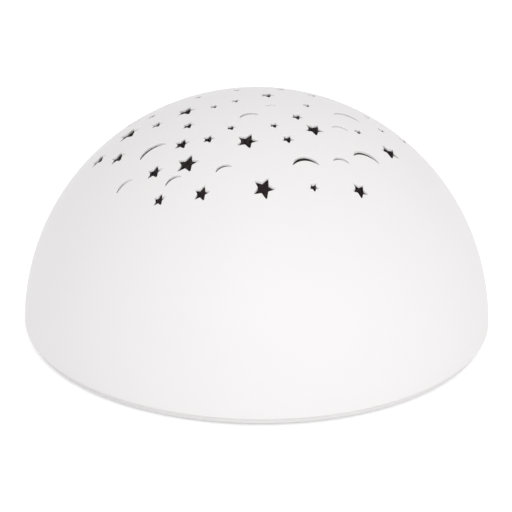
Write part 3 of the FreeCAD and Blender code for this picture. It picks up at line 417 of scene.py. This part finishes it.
def wall_patch(loop, outward, dome, centre_z, crown_radius, steps=4):
    """The wall of one cut-out, from the rounded outer edge down to the inner face.

    The rounding is a curve with three control points: on the sphere just outside the outline, at the sharp
    corner, and as far down the upright wall. The normal turns evenly from the sphere's to the wall's.
    """
    top = on_sphere(loop, dome.radius, centre_z)
    start = on_sphere(loop + outward * dome.cut_round, dome.radius, centre_z)
    end = top - (0, 0, dome.cut_round)
    t = np.linspace(0, 1, steps)[:, None, None]
    rounding = (1 - t) ** 2 * start + 2 * t * (1 - t) * top + t ** 2 * end
    bottom = on_sphere(loop, crown_radius, centre_z)[None]
    points = np.concatenate([rounding, bottom])
    inward = np.concatenate([-outward, np.zeros((len(loop), 1))], axis=1)
    normals = (1 - t) * (start - (0, 0, centre_z)) / dome.radius + t * inward
    normals = np.concatenate([normals, inward[None]])
    normals /= np.linalg.norm(normals, axis=-1, keepdims=True)
    faces = grid_faces(len(points), len(loop), closed=True)[:, ::-1]
    return points.reshape(-1, 3), normals.reshape(-1, 3), faces


def turned_patch(profile, normals, around):
    """A profile of radius and height turned about the Z axis: (r cos a, r sin a, z)."""
    ring = unit(around)
    flat = profile[:, None, :1] * ring[None]
    tall = np.broadcast_to(profile[:, None, 1:], flat.shape[:2] + (1,))
    flat_normals = normals[:, None, :1] * ring[None]
    tall_normals = np.broadcast_to(normals[:, None, 1:], flat.shape[:2] + (1,))
    points = np.concatenate([flat, tall], axis=-1).reshape(-1, 3)
    turned = np.concatenate([flat_normals, tall_normals], axis=-1).reshape(-1, 3)
    return points, turned, grid_faces(len(profile), len(around), closed=True)


def arc_profile(radius, middle, begin, end, count, outward=1.0):
    """An arc in the section, by its angle from straight up, with its normals."""
    angles = np.linspace(begin, end, count)
    direction = np.stack([np.sin(angles), np.cos(angles)], axis=1)
    return np.array(middle) + radius * direction, direction * outward


def skirt_patches(dome, centre_z, edge_z, around):
    """The dome below the star field: outside, rounded edge, lower face, inside and thickening."""
    skirt = dome.radius - dome.skirt_wall
    crown = dome.radius - dome.crown_wall
    thick = dome.field_angle + dome.field_blend
    round_z = edge_z + dome.edge_round
    outer_end = math.acos((round_z - centre_z) / dome.radius)
    inner_end = math.acos((edge_z - centre_z) / skirt)
    edge_r = dome.radius * math.sin(outer_end) - dome.edge_round
    inner_r = skirt * math.sin(inner_end)
    centre = (0, centre_z)
    blend = np.array(centre) + [
        crown * np.array([math.sin(dome.field_angle), math.cos(dome.field_angle)]),
        skirt * np.array([math.sin(thick), math.cos(thick)]),
    ]
    run = blend[1] - blend[0]
    inward = np.array([run[1], -run[0]]) / np.linalg.norm(run)
    outside = [
        arc_profile(dome.radius, centre, dome.field_angle, outer_end, OUTSIDE_STEPS),
        arc_profile(dome.edge_round, (edge_r, round_z), math.pi / 2, math.pi, EDGE_STEPS),
    ]
    inside = [
        (np.linspace((inner_r, edge_z), (edge_r, edge_z), 3), np.tile([0.0, -1.0], (3, 1))),
        arc_profile(skirt, centre, thick, inner_end, INSIDE_STEPS, -1.0),
        (blend, np.tile(inward, (2, 1))),
    ]
    patches = [turned_patch(*profile, around) for profile in outside]
    for profile in inside:
        points, normals, faces = turned_patch(*profile, around)
        patches.append((points, normals, faces[:, ::-1]))
    return patches


def boss_patches(dome, centre_z, place, direction):
    """One screw boss: a round post with a blind hole, and its rib out to the skirt.

    The post is a profile turned about its own axis, and its upper end lies on a sphere inside the skirt's
    wall. The rib is an upright strip from the boss outward, as tall at each step as that same sphere.
    """
    inside = dome.radius - dome.skirt_wall * WALL_BITE
    around = np.linspace(0, FULL_TURN, BOSS_STEPS, endpoint=False)
    profile = np.array([
        (0, dome.boss_hole_top), (dome.boss_hole_radius, dome.boss_hole_top),
        (dome.boss_hole_radius, dome.boss_foot), (dome.boss_radius, dome.boss_foot),
        (dome.boss_radius, None), (0, None),
    ], dtype=float)
    ring = unit(around)
    plan = place + profile[:, None, :1] * ring[None]
    height = np.broadcast_to(profile[:, None, 1], plan.shape[:2])
    lifted = on_sphere(plan, inside, centre_z)[..., 2]
    post = np.concatenate([plan, np.where(np.isnan(height), lifted, height)[..., None]], axis=-1)
    reach = math.sqrt(inside ** 2 - (dome.rib_foot - centre_z) ** 2) - RIB_BACK
    along = np.linspace(dome.boss_circle, reach, RIB_STEPS)
    across = np.array([-direction[1], direction[0]]) * dome.rib_width / 2
    spine = direction * along[:, None]
    left, right = spine + across, spine - across
    low = np.full((len(along), 1), dome.rib_foot)
    rib = np.stack([
        np.concatenate([left, low], axis=1), np.concatenate([right, low], axis=1),
        on_sphere(right, inside, centre_z), on_sphere(left, inside, centre_z),
    ], axis=1)
    rib = np.concatenate([rib[:1].mean(axis=1, keepdims=True).repeat(4, axis=1), rib,
                          rib[-1:].mean(axis=1, keepdims=True).repeat(4, axis=1)])
    return [(post.reshape(-1, 3), None, grid_faces(len(profile), len(around), True)[:, ::-1]),
            (rib.reshape(-1, 3), None, grid_faces(len(rib), 4, True))]


def join_patches(name, patches):
    """One mesh from patches of points, normals and faces, with points that meet merged.

    A patch with no normals gets those of its own faces. Each face corner keeps its patch's normal, so that
    curved faces are smooth and the edges between patches stay as sharp as they are.
    """
    points = np.concatenate([patch[0] for patch in patches])
    keys = np.round(points / MM * MERGE_STEPS).astype(np.int64)
    _, first, merged = np.unique(keys, axis=0, return_index=True, return_inverse=True)
    merged = merged.reshape(-1)
    corners, normals, totals, offset = [], [], [], 0
    for patch_points, patch_normals, faces in patches:
        kept = merged[faces + offset]
        distinct = kept != np.roll(kept, 1, axis=1)
        sound = distinct.sum(axis=1) >= 3
        kept, distinct, faces = kept[sound], distinct[sound], faces[sound]
        if patch_normals is None:
            a, b, c = (patch_points[faces[:, i]] for i in (0, 1, 2))
            d = patch_points[faces[:, -1]]
            flat = np.cross(c - a, d - b)
            flat /= np.linalg.norm(flat, axis=1, keepdims=True)
            face_normals = np.repeat(flat[:, None], faces.shape[1], axis=1)
        else:
            face_normals = patch_normals[faces]
        corners.append(kept[distinct])
        normals.append(face_normals[distinct])
        totals.append(distinct.sum(axis=1))
        offset += len(patch_points)
    corners, normals, totals = (np.concatenate(part) for part in (corners, normals, totals))
    mesh = bpy.data.meshes.new(name)
    mesh.vertices.add(len(first))
    mesh.vertices.foreach_set("co", points[first].astype(np.float32).ravel())
    mesh.loops.add(len(corners))
    mesh.loops.foreach_set("vertex_index", corners.astype(np.int32))
    mesh.polygons.add(len(totals))
    starts = np.cumsum(totals) - totals
    mesh.polygons.foreach_set("loop_start", starts.astype(np.int32))
    mesh.polygons.foreach_set("loop_total", totals.astype(np.int32))
    mesh.update(calc_edges=True)
    if mesh.validate():
        raise RuntimeError(f"the mesh of {name} has faces that don't stand")
    mesh.normals_split_custom_set(normals.astype(np.float32))
    return mesh


def soft_leads(name, node, routes, diameter, slot):
    """Leads in one piece, each a smooth curve of second degree whose control points are its route's."""
    curve = bpy.data.curves.new(name, "CURVE")
    curve.dimensions = "3D"
    curve.bevel_depth = diameter / 2
    curve.bevel_resolution = LEAD_ROUNDNESS
    curve.use_fill_caps = True
    for route in routes:
        spline = curve.splines.new("NURBS")
        spline.points.add(len(route) - 1)
        weighted = np.pad(np.array(route), ((0, 0), (0, 1)), constant_values=1.0)
        spline.points.foreach_set("co", weighted.ravel())
        spline.order_u = 3
        spline.use_endpoint_u = True
    curve.materials.append(material_for(slot))
    piece = bpy.data.objects.new(name, curve)
    bpy.context.scene.collection.objects.link(piece)
    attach(piece, "housing")
    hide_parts(node)
    return piece


# Materials

def add(tree, kind, inputs=None, **settings):
    """One node of a kind, with its settings; inputs are values or other nodes' outputs."""
    node = tree.nodes.new(kind)
    for key, value in settings.items():
        setattr(node, key, value)
    for key, value in (inputs or {}).items():
        if isinstance(value, bpy.types.NodeSocket):
            tree.links.new(value, node.inputs[key])
        else:
            node.inputs[key].default_value = value
    return node


def new_material(name, **sockets):
    """An empty material with one Principled shader, its constants on its own sockets."""
    material = bpy.data.materials.new(name)
    material.use_nodes = True
    tree = material.node_tree
    shader = tree.nodes["Principled BSDF"]
    for key, value in sockets.items():
        shader.inputs[key.replace("_", " ")].default_value = value
    place = add(tree, "ShaderNodeTexCoord").outputs["Object"]
    return material, tree, shader, place


def per(millimetres):
    """The texture scale at which one feature measures so many millimetres."""
    return 1 / (millimetres * MM)


def shade(base, factor):
    """A linear colour times a factor, with full alpha."""
    return tuple(min(1.0, c * factor) for c in base) + (1.0,)


def mottle(tree, shader, place, base, size, depth, roughness, swing):
    """Slow drift of colour and gloss over a surface, by noise of one size in millimetres."""
    noise = add(tree, "ShaderNodeTexNoise", {"Vector": place, "Scale": per(size), "Detail": 3.0})
    tone = add(tree, "ShaderNodeMix", {0: noise.outputs["Fac"], 6: shade(base, 1 - depth),
                                       7: shade(base, 1 + depth)}, data_type="RGBA")
    gloss = add(tree, "ShaderNodeMapRange",
                {"Value": noise.outputs["Fac"], "From Min": NOISE_LOW, "From Max": NOISE_HIGH,
                 "To Min": roughness - swing, "To Max": roughness + swing})
    tree.links.new(gloss.outputs["Result"], shader.inputs["Roughness"])
    return tone.outputs[2]


def grain(tree, shader, place, size, depth):
    """Fine relief from noise of one size, to a depth, both in millimetres."""
    noise = add(tree, "ShaderNodeTexNoise", {"Vector": place, "Scale": per(size), "Detail": 2.0})
    bump = add(tree, "ShaderNodeBump", {"Height": noise.outputs["Fac"], "Strength": 1.0,
                                        "Distance": depth * MM})
    tree.links.new(bump.outputs["Normal"], shader.inputs["Normal"])


def moulded(name, base, roughness, grain_size, grain_depth, drift_size=24.0, drift=0.012, **sockets):
    """A moulded plastic: even colour with a slow drift, and the tool's fine texture in relief."""
    material, tree, shader, place = new_material(name, **sockets)
    tone = mottle(tree, shader, place, base, drift_size, drift, roughness, swing=0.03)
    grain(tree, shader, place, grain_size, grain_depth)
    tree.links.new(tone, shader.inputs["Base Color"])
    return material


def plated(name, base, roughness, stroke):
    """A plated metal: fine strokes from wire or cutting, in gloss and relief."""
    material, tree, shader, place = new_material(name, Metallic=1.0)
    stretched = add(tree, "ShaderNodeMapping", {"Vector": place, "Scale": (1.0, 1.0, 4.0)})
    strokes = stretched.outputs["Vector"]
    tone = mottle(tree, shader, strokes, base, size=stroke * 6, depth=0.08, roughness=roughness, swing=0.08)
    grain(tree, shader, strokes, stroke, depth=0.004)
    tree.links.new(tone, shader.inputs["Base Color"])
    return material


def solder_mask(name, base, trace_pitch, contrast):
    """Solder mask on a glass fibre board: square traces show faintly through it, over the weave."""
    material, tree, shader, place = new_material(name, IOR=1.5, Coat_Weight=0.3, Coat_Roughness=0.15)
    traces = add(tree, "ShaderNodeTexBrick",
                 {"Vector": place, "Scale": 1.0, "Color1": shade(base, 1 + contrast),
                  "Color2": shade(base, 1 + contrast * 0.6), "Mortar": shade(base, 1 - contrast * 0.5),
                  "Brick Width": trace_pitch * 5 * MM, "Row Height": trace_pitch * MM,
                  "Mortar Size": trace_pitch * 0.3 * MM, "Mortar Smooth": 0.2})
    weave = add(tree, "ShaderNodeTexWave", {"Vector": place, "Scale": per(4.0), "Distortion": 0.5})
    woven = add(tree, "ShaderNodeMix", {0: 0.12, 6: traces.outputs["Color"], 7: weave.outputs["Color"]},
                data_type="RGBA", blend_type="MULTIPLY")
    mottle(tree, shader, place, base, size=9.0, depth=0.0, roughness=0.3, swing=0.05)
    bump = add(tree, "ShaderNodeBump", {"Height": traces.outputs["Fac"], "Distance": 0.03 * MM},
               invert=True)
    tree.links.new(bump.outputs["Normal"], shader.inputs["Normal"])
    tree.links.new(woven.outputs[2], shader.inputs["Base Color"])
    return material


def banded_film(name, base):
    """A cell's printed film: plain grey with a pale ring near each end, and bare steel past the film."""
    material, tree, shader, place = new_material(name, IOR=1.5, Coat_Weight=0.25)
    low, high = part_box("battery_cell_1")
    half = (high.x - low.x) / 2
    apart = add(tree, "ShaderNodeSeparateXYZ", {"Vector": place})
    distance = add(tree, "ShaderNodeMath", {0: apart.outputs["X"]}, operation="ABSOLUTE").outputs[0]
    ring = add(tree, "ShaderNodeMath", {0: distance, 1: half - FILM_RING_PLACE, 2: FILM_RING_HALF},
               operation="COMPARE")
    bare = add(tree, "ShaderNodeMath", {0: distance, 1: half - FILM_END}, operation="GREATER_THAN")
    film = mottle(tree, shader, place, base, size=12.0, depth=0.02, roughness=0.32, swing=0.04)
    ringed = add(tree, "ShaderNodeMix",
                 {0: ring.outputs[0], 6: film, 7: linear(FILM_RING_COLOUR) + (1.0,)}, data_type="RGBA")
    steel = add(tree, "ShaderNodeMix",
                {0: bare.outputs[0], 6: ringed.outputs[2], 7: linear(CELL_STEEL) + (1.0,)},
                data_type="RGBA")
    tree.links.new(steel.outputs[2], shader.inputs["Base Color"])
    tree.links.new(bare.outputs[0], shader.inputs["Metallic"])
    grain(tree, shader, place, size=0.6, depth=0.004)
    return material


def resin_diode(name, base):
    """White moulded diode bodies, each with a round window of clear yellowish resin in its top."""
    material, tree, shader, place = new_material(name, IOR=1.5)
    low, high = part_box("white_diode")
    offset = (abs(low.x + high.x) / 2, abs(low.y + high.y) / 2, 0.0)
    folded = add(tree, "ShaderNodeVectorMath", {0: place}, operation="ABSOLUTE").outputs["Vector"]
    flat = add(tree, "ShaderNodeVectorMath", {0: folded, 1: (1.0, 1.0, 0.0)}, operation="MULTIPLY")
    away = add(tree, "ShaderNodeVectorMath", {0: flat.outputs["Vector"], 1: offset},
               operation="DISTANCE").outputs["Value"]
    window = add(tree, "ShaderNodeMath", {0: away, 1: RESIN_RADIUS}, operation="LESS_THAN")
    body = mottle(tree, shader, place, base, size=2.0, depth=0.015, roughness=0.35, swing=0.04)
    tone = add(tree, "ShaderNodeMix", {0: window.outputs[0], 6: body, 7: linear(RESIN_COLOUR) + (1.0,)},
               data_type="RGBA")
    tree.links.new(tone.outputs[2], shader.inputs["Base Color"])
    grain(tree, shader, place, size=0.3, depth=0.004)
    return material


# Finishes by material slot

def dome_material(colours):
    # ABS from a smooth tool with a faint satin texture: soft wide highlights, no mirror image.
    # The real texture is about 0.05 mm, too fine to show, so it is drawn at 0.45 mm.
    return moulded("moulded white ABS", colours.dome, roughness=0.5, grain_size=0.45,
                   grain_depth=0.0025, drift_size=45.0, drift=0.01, IOR=1.53)


def base_material(colours):
    # ABS with a spark-eroded tool texture: a little flatter than the dome. Drawn at 0.5 mm.
    return moulded("moulded white ABS textured", colours.base, roughness=0.52, grain_size=0.5,
                   grain_depth=0.012, IOR=1.53)


def deck_material(colours):
    # Pale ABS, fine matt: a dry surface without a mirror image. Drawn at 0.6 mm.
    return moulded("moulded pale ABS", colours.deck, roughness=0.62, grain_size=0.6,
                   grain_depth=0.012, drift=0.05, IOR=1.53)


def control_material(colours):
    # Grey ABS, fine matt: a soft sheen on the dished top and the grip's ribs. Drawn at 0.4 mm.
    return moulded("moulded grey ABS", colours.control, roughness=0.5, grain_size=0.4,
                   grain_depth=0.01, IOR=1.53)


def switch_material(colours):
    # Glass filled nylon: dark, dry and slightly cloudy.
    return moulded("glass filled nylon", colours.switch, roughness=0.55, grain_size=0.35,
                   grain_depth=0.008, drift=0.06, IOR=1.53)


def foot_material(colours):
    # Silicone rubber: matt, with the dusty veil that rubber picks up.
    return moulded("moulded silicone rubber", colours.foot, roughness=0.78, grain_size=0.7,
                   grain_depth=0.015, drift_size=5.0, drift=0.03, IOR=1.41, Sheen_Weight=0.15,
                   Sheen_Roughness=0.5)


def screw_material(colours):
    # Zinc plated steel, cold headed: bright with soft cloudy strokes.
    return plated("zinc plated steel", colours.screw, roughness=0.34, stroke=0.4)


def spring_material(colours):
    # Nickel plated spring steel, drawn and stamped: brighter and tighter highlights than the screws.
    return plated("nickel plated steel", colours.spring, roughness=0.22, stroke=0.3)


def board_material(colours):
    # Green solder mask over copper on glass fibre: traces 0.8 mm apart show as lighter green.
    return solder_mask("green solder mask", colours.board, trace_pitch=0.8, contrast=0.28)


def lamp_board_material(colours):
    # White solder mask: traces hardly show, a faint relief is left.
    return solder_mask("white solder mask", colours.lamp_board, trace_pitch=1.6, contrast=0.03)


def chip_material(colours):
    # Epoxy mould compound: dark grey with a sandy surface.
    return moulded("moulded epoxy", colours.chip, roughness=0.58, grain_size=0.25, grain_depth=0.006,
                   drift_size=3.0, drift=0.05, IOR=1.55)


def capacitor_material(colours):
    # PVC sleeve shrunk over an aluminium can: glossy with slight pulls.
    return moulded("shrunk PVC sleeve", colours.capacitor, roughness=0.28, grain_size=1.6,
                   grain_depth=0.02, drift_size=4.0, drift=0.04, IOR=1.52)


def resistor_material(colours):
    # Glazed ceramic: dark and shiny, too small for more than a slight unevenness.
    return moulded("glazed ceramic", colours.resistor, roughness=0.25, grain_size=0.4,
                   grain_depth=0.004, drift_size=1.5, drift=0.05, IOR=1.55)


def connector_material(colours):
    # Natural nylon: waxy off-white that lets a little light in.
    return moulded("moulded nylon", colours.connector, roughness=0.45, grain_size=0.5,
                   grain_depth=0.006, drift_size=6.0, drift=0.02, IOR=1.53, Subsurface_Weight=0.1,
                   Subsurface_Scale=0.001)


def lead_material(name, base):
    # Soft PVC on the three kinds of lead: satin, with faint waves along the sleeve.
    return moulded(name, base, roughness=0.42, grain_size=1.2, grain_depth=0.012, drift_size=5.0,
                   drift=0.03, IOR=1.52)


def diode_material(colours):
    # White moulded PPA bodies with clear resin in each: a satin cup round a yellowish window.
    return resin_diode("moulded PPA with clear resin", colours.diode)


def lens_material(colours):
    # Blasted polycarbonate: lets light through and scatters it, so the diodes show only as soft spots.
    return moulded("frosted polycarbonate", colours.lens, roughness=0.5, grain_size=0.4,
                   grain_depth=0.01, drift_size=6.0, drift=0.01, IOR=1.58, Transmission_Weight=0.55)


def cell_material(colours):
    # Printed PET film shrunk over a steel can: smooth, with a soft gloss.
    return banded_film("printed PET film", colours.cell)


# The function that makes each of the record's material slots
FINISHES = {
    "white_abs": dome_material,
    "base_abs": base_material,
    "deck_plastic": deck_material,
    "grey_control": control_material,
    "switch_black": switch_material,
    "rubber_foot": foot_material,
    "steel_screw": screw_material,
    "spring_steel": spring_material,
    "board_green": board_material,
    "board_white": lamp_board_material,
    "chip_black": chip_material,
    "capacitor_sleeve": capacitor_material,
    "resistor_black": resistor_material,
    "connector_white": connector_material,
    "red_lead": lambda colours: lead_material("extruded red PVC", colours.red_lead),
    "black_lead": lambda colours: lead_material("extruded black PVC", colours.black_lead),
    "grey_ribbon": lambda colours: lead_material("extruded grey PVC", colours.grey_lead),
    "diode_body": diode_material,
    "lens_frost": lens_material,
    "cell_sleeve": cell_material,
}
finished = {}


def material_for(slot):
    """The finish of one of the record's slots, made once."""
    if slot not in finished:
        finished[slot] = FINISHES[slot](bpy.context.scene.night_light_colours)
    return finished[slot]


def finish_nodes(*names):
    """Gives CAD nodes the finish of their slot; their meshes and places stay as they are."""
    slots = {part["node"]: part["material_slot"] for part in frame["record"]["subparts"]}
    for name in names:
        for material_slot in frame["nodes"][name].material_slots:
            material_slot.material = material_for(slots[name])


# Operators

class NIGHTLIGHT_OT_dome(bpy.types.Operator):
    """Build the half dome with its stars, moons, rounded edges, bosses and ribs"""
    bl_idname = "night_light.dome"
    bl_label = "Dome"

    def execute(self, context):
        dome = context.scene.night_light_dome
        edge_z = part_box("dome_shell")[0].z
        centre_z = edge_z - dome.sink
        crown = dome.radius - dome.crown_wall
        outlines = cut_outlines(context.scene.night_light_pattern, dome)
        around = np.linspace(0, FULL_TURN, DOME_STEPS, endpoint=False)
        sine = math.sin(dome.field_angle)
        outer_loops = [points + outward * dome.cut_round for points, outward in outlines]
        inner_loops = [points for points, outward in outlines]
        patches = [
            cap_patch(unit(around) * dome.radius * sine, outer_loops, dome.radius, centre_z, True),
            cap_patch(unit(around) * crown * sine, inner_loops, crown, centre_z, False),
        ]
        patches += [wall_patch(points, outward, dome, centre_z, crown) for points, outward in outlines]
        patches += skirt_patches(dome, centre_z, edge_z, around)
        for step in range(BOSS_COUNT):
            direction = unit(math.radians(FIRST_BOSS + step * 360 / BOSS_COUNT))
            patches += boss_patches(dome, centre_z, direction * dome.boss_circle, direction)
        piece = bpy.data.objects.new("dome_moulding", join_patches("dome_moulding", patches))
        context.scene.collection.objects.link(piece)
        piece.data.materials.append(material_for("white_abs"))
        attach(piece, "housing")
        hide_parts("dome_shell")
        return {"FINISHED"}


class NIGHTLIGHT_OT_base(bpy.types.Operator):
    """Finish the base plate, the battery door, the deck and the feet"""
    bl_idname = "night_light.base"
    bl_label = "Base, door, deck and feet"

    def execute(self, context):
        finish_nodes("base_plate", "battery_door", "light_deck", "rubber_feet")
        return {"FINISHED"}


class NIGHTLIGHT_OT_controls(bpy.types.Operator):
    """Finish the slider, the mode button and the switches behind them"""
    bl_idname = "night_light.controls"
    bl_label = "Slider, button and switches"

    def execute(self, context):
        finish_nodes("power_slider", "mode_button", "slide_switch", "switch_lever", "tact_switch",
                     "tact_plunger")
        return {"FINISHED"}


class NIGHTLIGHT_OT_screws(bpy.types.Operator):
    """Finish all the screws and the door screw's retainer"""
    bl_idname = "night_light.screws"
    bl_label = "Screws"

    def execute(self, context):
        finish_nodes("dome_screws", "battery_door_screw", "screw_retainer", "control_board_screws",
                     "deck_screws", "lamp_board_screws")
        return {"FINISHED"}


class NIGHTLIGHT_OT_board(bpy.types.Operator):
    """Finish the control board, its components and plugs"""
    bl_idname = "night_light.board"
    bl_label = "Board"

    def execute(self, context):
        finish_nodes("control_board", "controller_chip", "capacitor", "chip_resistors", "board_sockets",
                     "wire_plugs")
        return {"FINISHED"}


class NIGHTLIGHT_OT_leads(bpy.types.Operator):
    """Lay the two battery leads and the lamp's ribbon of five leads"""
    bl_idname = "night_light.leads"
    bl_label = "Leads"

    def execute(self, context):
        sizes = context.scene.night_light_leads
        diameter = sizes.battery_diameter
        positive = soft_leads("positive_wire", "positive_lead", [POSITIVE_ROUTE], diameter, "red_lead")
        negative = soft_leads("negative_wire", "negative_lead", [NEGATIVE_ROUTE], diameter, "black_lead")
        steps = np.arange(RIBBON_LEADS) - (RIBBON_LEADS - 1) / 2
        places = sizes.ribbon_middle + steps * sizes.ribbon_pitch
        ribbon = [[(place, *point) for point in RIBBON_ROUTE] for place in places]
        soft_leads("lamp_ribbon", "led_ribbon", ribbon, sizes.ribbon_diameter, "grey_ribbon")
        return {"FINISHED"}


class NIGHTLIGHT_OT_lamp(bpy.types.Operator):
    """Finish the lamp board, its diodes and the lens"""
    bl_idname = "night_light.lamp"
    bl_label = "Lamp"

    def execute(self, context):
        finish_nodes("lamp_board", "colour_diodes", "white_diode", "lamp_lens")
        return {"FINISHED"}


class NIGHTLIGHT_OT_cells(bpy.types.Operator):
    """Finish the battery cells, their contacts and springs"""
    bl_idname = "night_light.cells"
    bl_label = "Cells and contacts"

    def execute(self, context):
        finish_nodes("battery_cell_1", "battery_cell_2", "battery_cell_3", "negative_contact",
                     "left_bridge_contact", "right_bridge_contact", "positive_contact",
                     "contact_springs")
        return {"FINISHED"}


def seen(tree):
    """One where a surface is seen by the camera, in gloss or through glass, zero where it lights others."""
    path = add(tree, "ShaderNodeLightPath").outputs
    direct = add(tree, "ShaderNodeMath", {0: path["Is Camera Ray"], 1: path["Is Glossy Ray"]},
                 operation="MAXIMUM")
    return add(tree, "ShaderNodeMath", {0: direct.outputs[0], 1: path["Is Transmission Ray"]},
               operation="MAXIMUM").outputs[0]


def white_floor():
    """Paper floor: takes shadows, and shows as white where no shadow falls."""
    material, tree, shader, place = new_material("matt paper", Emission_Color=(1.0, 1.0, 1.0, 1.0))
    tone = mottle(tree, shader, place, linear(FLOOR_COLOUR), size=300.0, depth=0.002, roughness=0.9,
                  swing=0.02)
    tree.links.new(tone, shader.inputs["Base Color"])
    lift = add(tree, "ShaderNodeMath", {0: seen(tree), 1: FLOOR_LIFT}, operation="MULTIPLY")
    tree.links.new(lift.outputs[0], shader.inputs["Emission Strength"])
    return material


def white_world(sky):
    """A plain world: white where it is seen, and an even soft light everywhere else."""
    world = bpy.data.worlds.new("studio")
    world.use_nodes = True
    tree = world.node_tree
    tree.nodes.clear()
    strength = add(tree, "ShaderNodeMix", {0: seen(tree), 2: sky, 3: 1.0})
    light = add(tree, "ShaderNodeBackground",
                {"Color": (1.0, 1.0, 1.0, 1.0), "Strength": strength.outputs[0]})
    add(tree, "ShaderNodeOutputWorld", {"Surface": light.outputs[0]})
    return world


class NIGHTLIGHT_OT_stage(bpy.types.Operator):
    """Set up the pale floor, the soft light and the camera"""
    bl_idname = "night_light.stage"
    bl_label = "Stage"

    def execute(self, context):
        scene, stage = context.scene, context.scene.night_light_stage
        around = np.linspace(0, FULL_TURN, FLOOR_STEPS, endpoint=False)
        floor_mesh = bpy.data.meshes.new("floor")
        rim = np.pad(unit(around) * FLOOR_RADIUS, ((0, 0), (0, 1)))
        floor_mesh.from_pydata(rim.tolist(), [], [list(range(len(rim)))])
        floor_mesh.materials.append(white_floor())
        floor = bpy.data.objects.new("floor", floor_mesh)
        scene.collection.objects.link(floor)
        scene.world = white_world(stage.sky)
        for name, sideways, height in SOFTBOXES:
            light = bpy.data.lights.new(name, "AREA")
            light.shape = "DISK"
            light.size = stage.light_size
            light.energy = getattr(stage, name)
            lamp = bpy.data.objects.new(name, light)
            flat = unit(math.radians(sideways - 90)) * math.cos(math.radians(height))
            toward = Vector((*flat, math.sin(math.radians(height))))
            lamp.location = toward * stage.light_distance
            lamp.rotation_euler = (-toward).to_track_quat("-Z", "Y").to_euler()
            scene.collection.objects.link(lamp)
        forward = Vector((0, math.cos(stage.elevation), -math.sin(stage.elevation)))
        camera = bpy.data.objects.new("camera", bpy.data.cameras.new("camera"))
        camera.data.lens = stage.focal_length
        camera.data.sensor_width = SENSOR_WIDTH
        turn = forward.to_track_quat("-Z", "Y").to_matrix() @ Matrix.Rotation(stage.roll, 3, "Z")
        camera.rotation_euler = turn.to_euler()
        camera.location = Vector(stage.aim) - forward * stage.distance
        scene.collection.objects.link(camera)
        scene.camera = camera
        scene.view_settings.view_transform = "Standard"
        return {"FINISHED"}


class NIGHTLIGHT_PT_panel(bpy.types.Panel):
    """Lists the night light's pieces and settings"""
    bl_idname = "NIGHTLIGHT_PT_panel"
    bl_label = "Night Light"
    bl_space_type = "VIEW_3D"
    bl_region_type = "UI"
    bl_category = "Night Light"

    def draw(self, context):
        for operator in OPERATORS:
            self.layout.operator(operator.bl_idname)
        for name, group in SETTINGS.items():
            box = self.layout.box()
            box.label(text=group.__doc__)
            for key in group.__annotations__:
                box.prop(getattr(context.scene, name), key)


OPERATORS = (
    NIGHTLIGHT_OT_dome, NIGHTLIGHT_OT_base, NIGHTLIGHT_OT_controls, NIGHTLIGHT_OT_screws,
    NIGHTLIGHT_OT_board, NIGHTLIGHT_OT_leads, NIGHTLIGHT_OT_lamp, NIGHTLIGHT_OT_cells, NIGHTLIGHT_OT_stage,
)
SETTINGS = {
    "night_light_dome": NightLightDomeSizes,
    "night_light_pattern": NightLightPatternSizes,
    "night_light_leads": NightLightLeadSizes,
    "night_light_colours": NightLightColours,
    "night_light_stage": NightLightStage,
}


def register():
    for kind in (*SETTINGS.values(), *OPERATORS, NIGHTLIGHT_PT_panel):
        bpy.utils.register_class(kind)
    for name, group in SETTINGS.items():
        setattr(bpy.types.Scene, name, bpy.props.PointerProperty(type=group))


def unregister():
    for name in SETTINGS:
        delattr(bpy.types.Scene, name)
    for kind in reversed((*SETTINGS.values(), *OPERATORS, NIGHTLIGHT_PT_panel)):
        bpy.utils.unregister_class(kind)


def main():
    """Builds everything in order."""
    register()
    for operator in OPERATORS:
        family, name = operator.bl_idname.split(".")
        if getattr(getattr(bpy.ops, family), name)() != {"FINISHED"}:
            raise RuntimeError(f"{operator.bl_label} was not finished")
    bpy.context.view_layer.update()


if __name__ == "__main__":
    main()
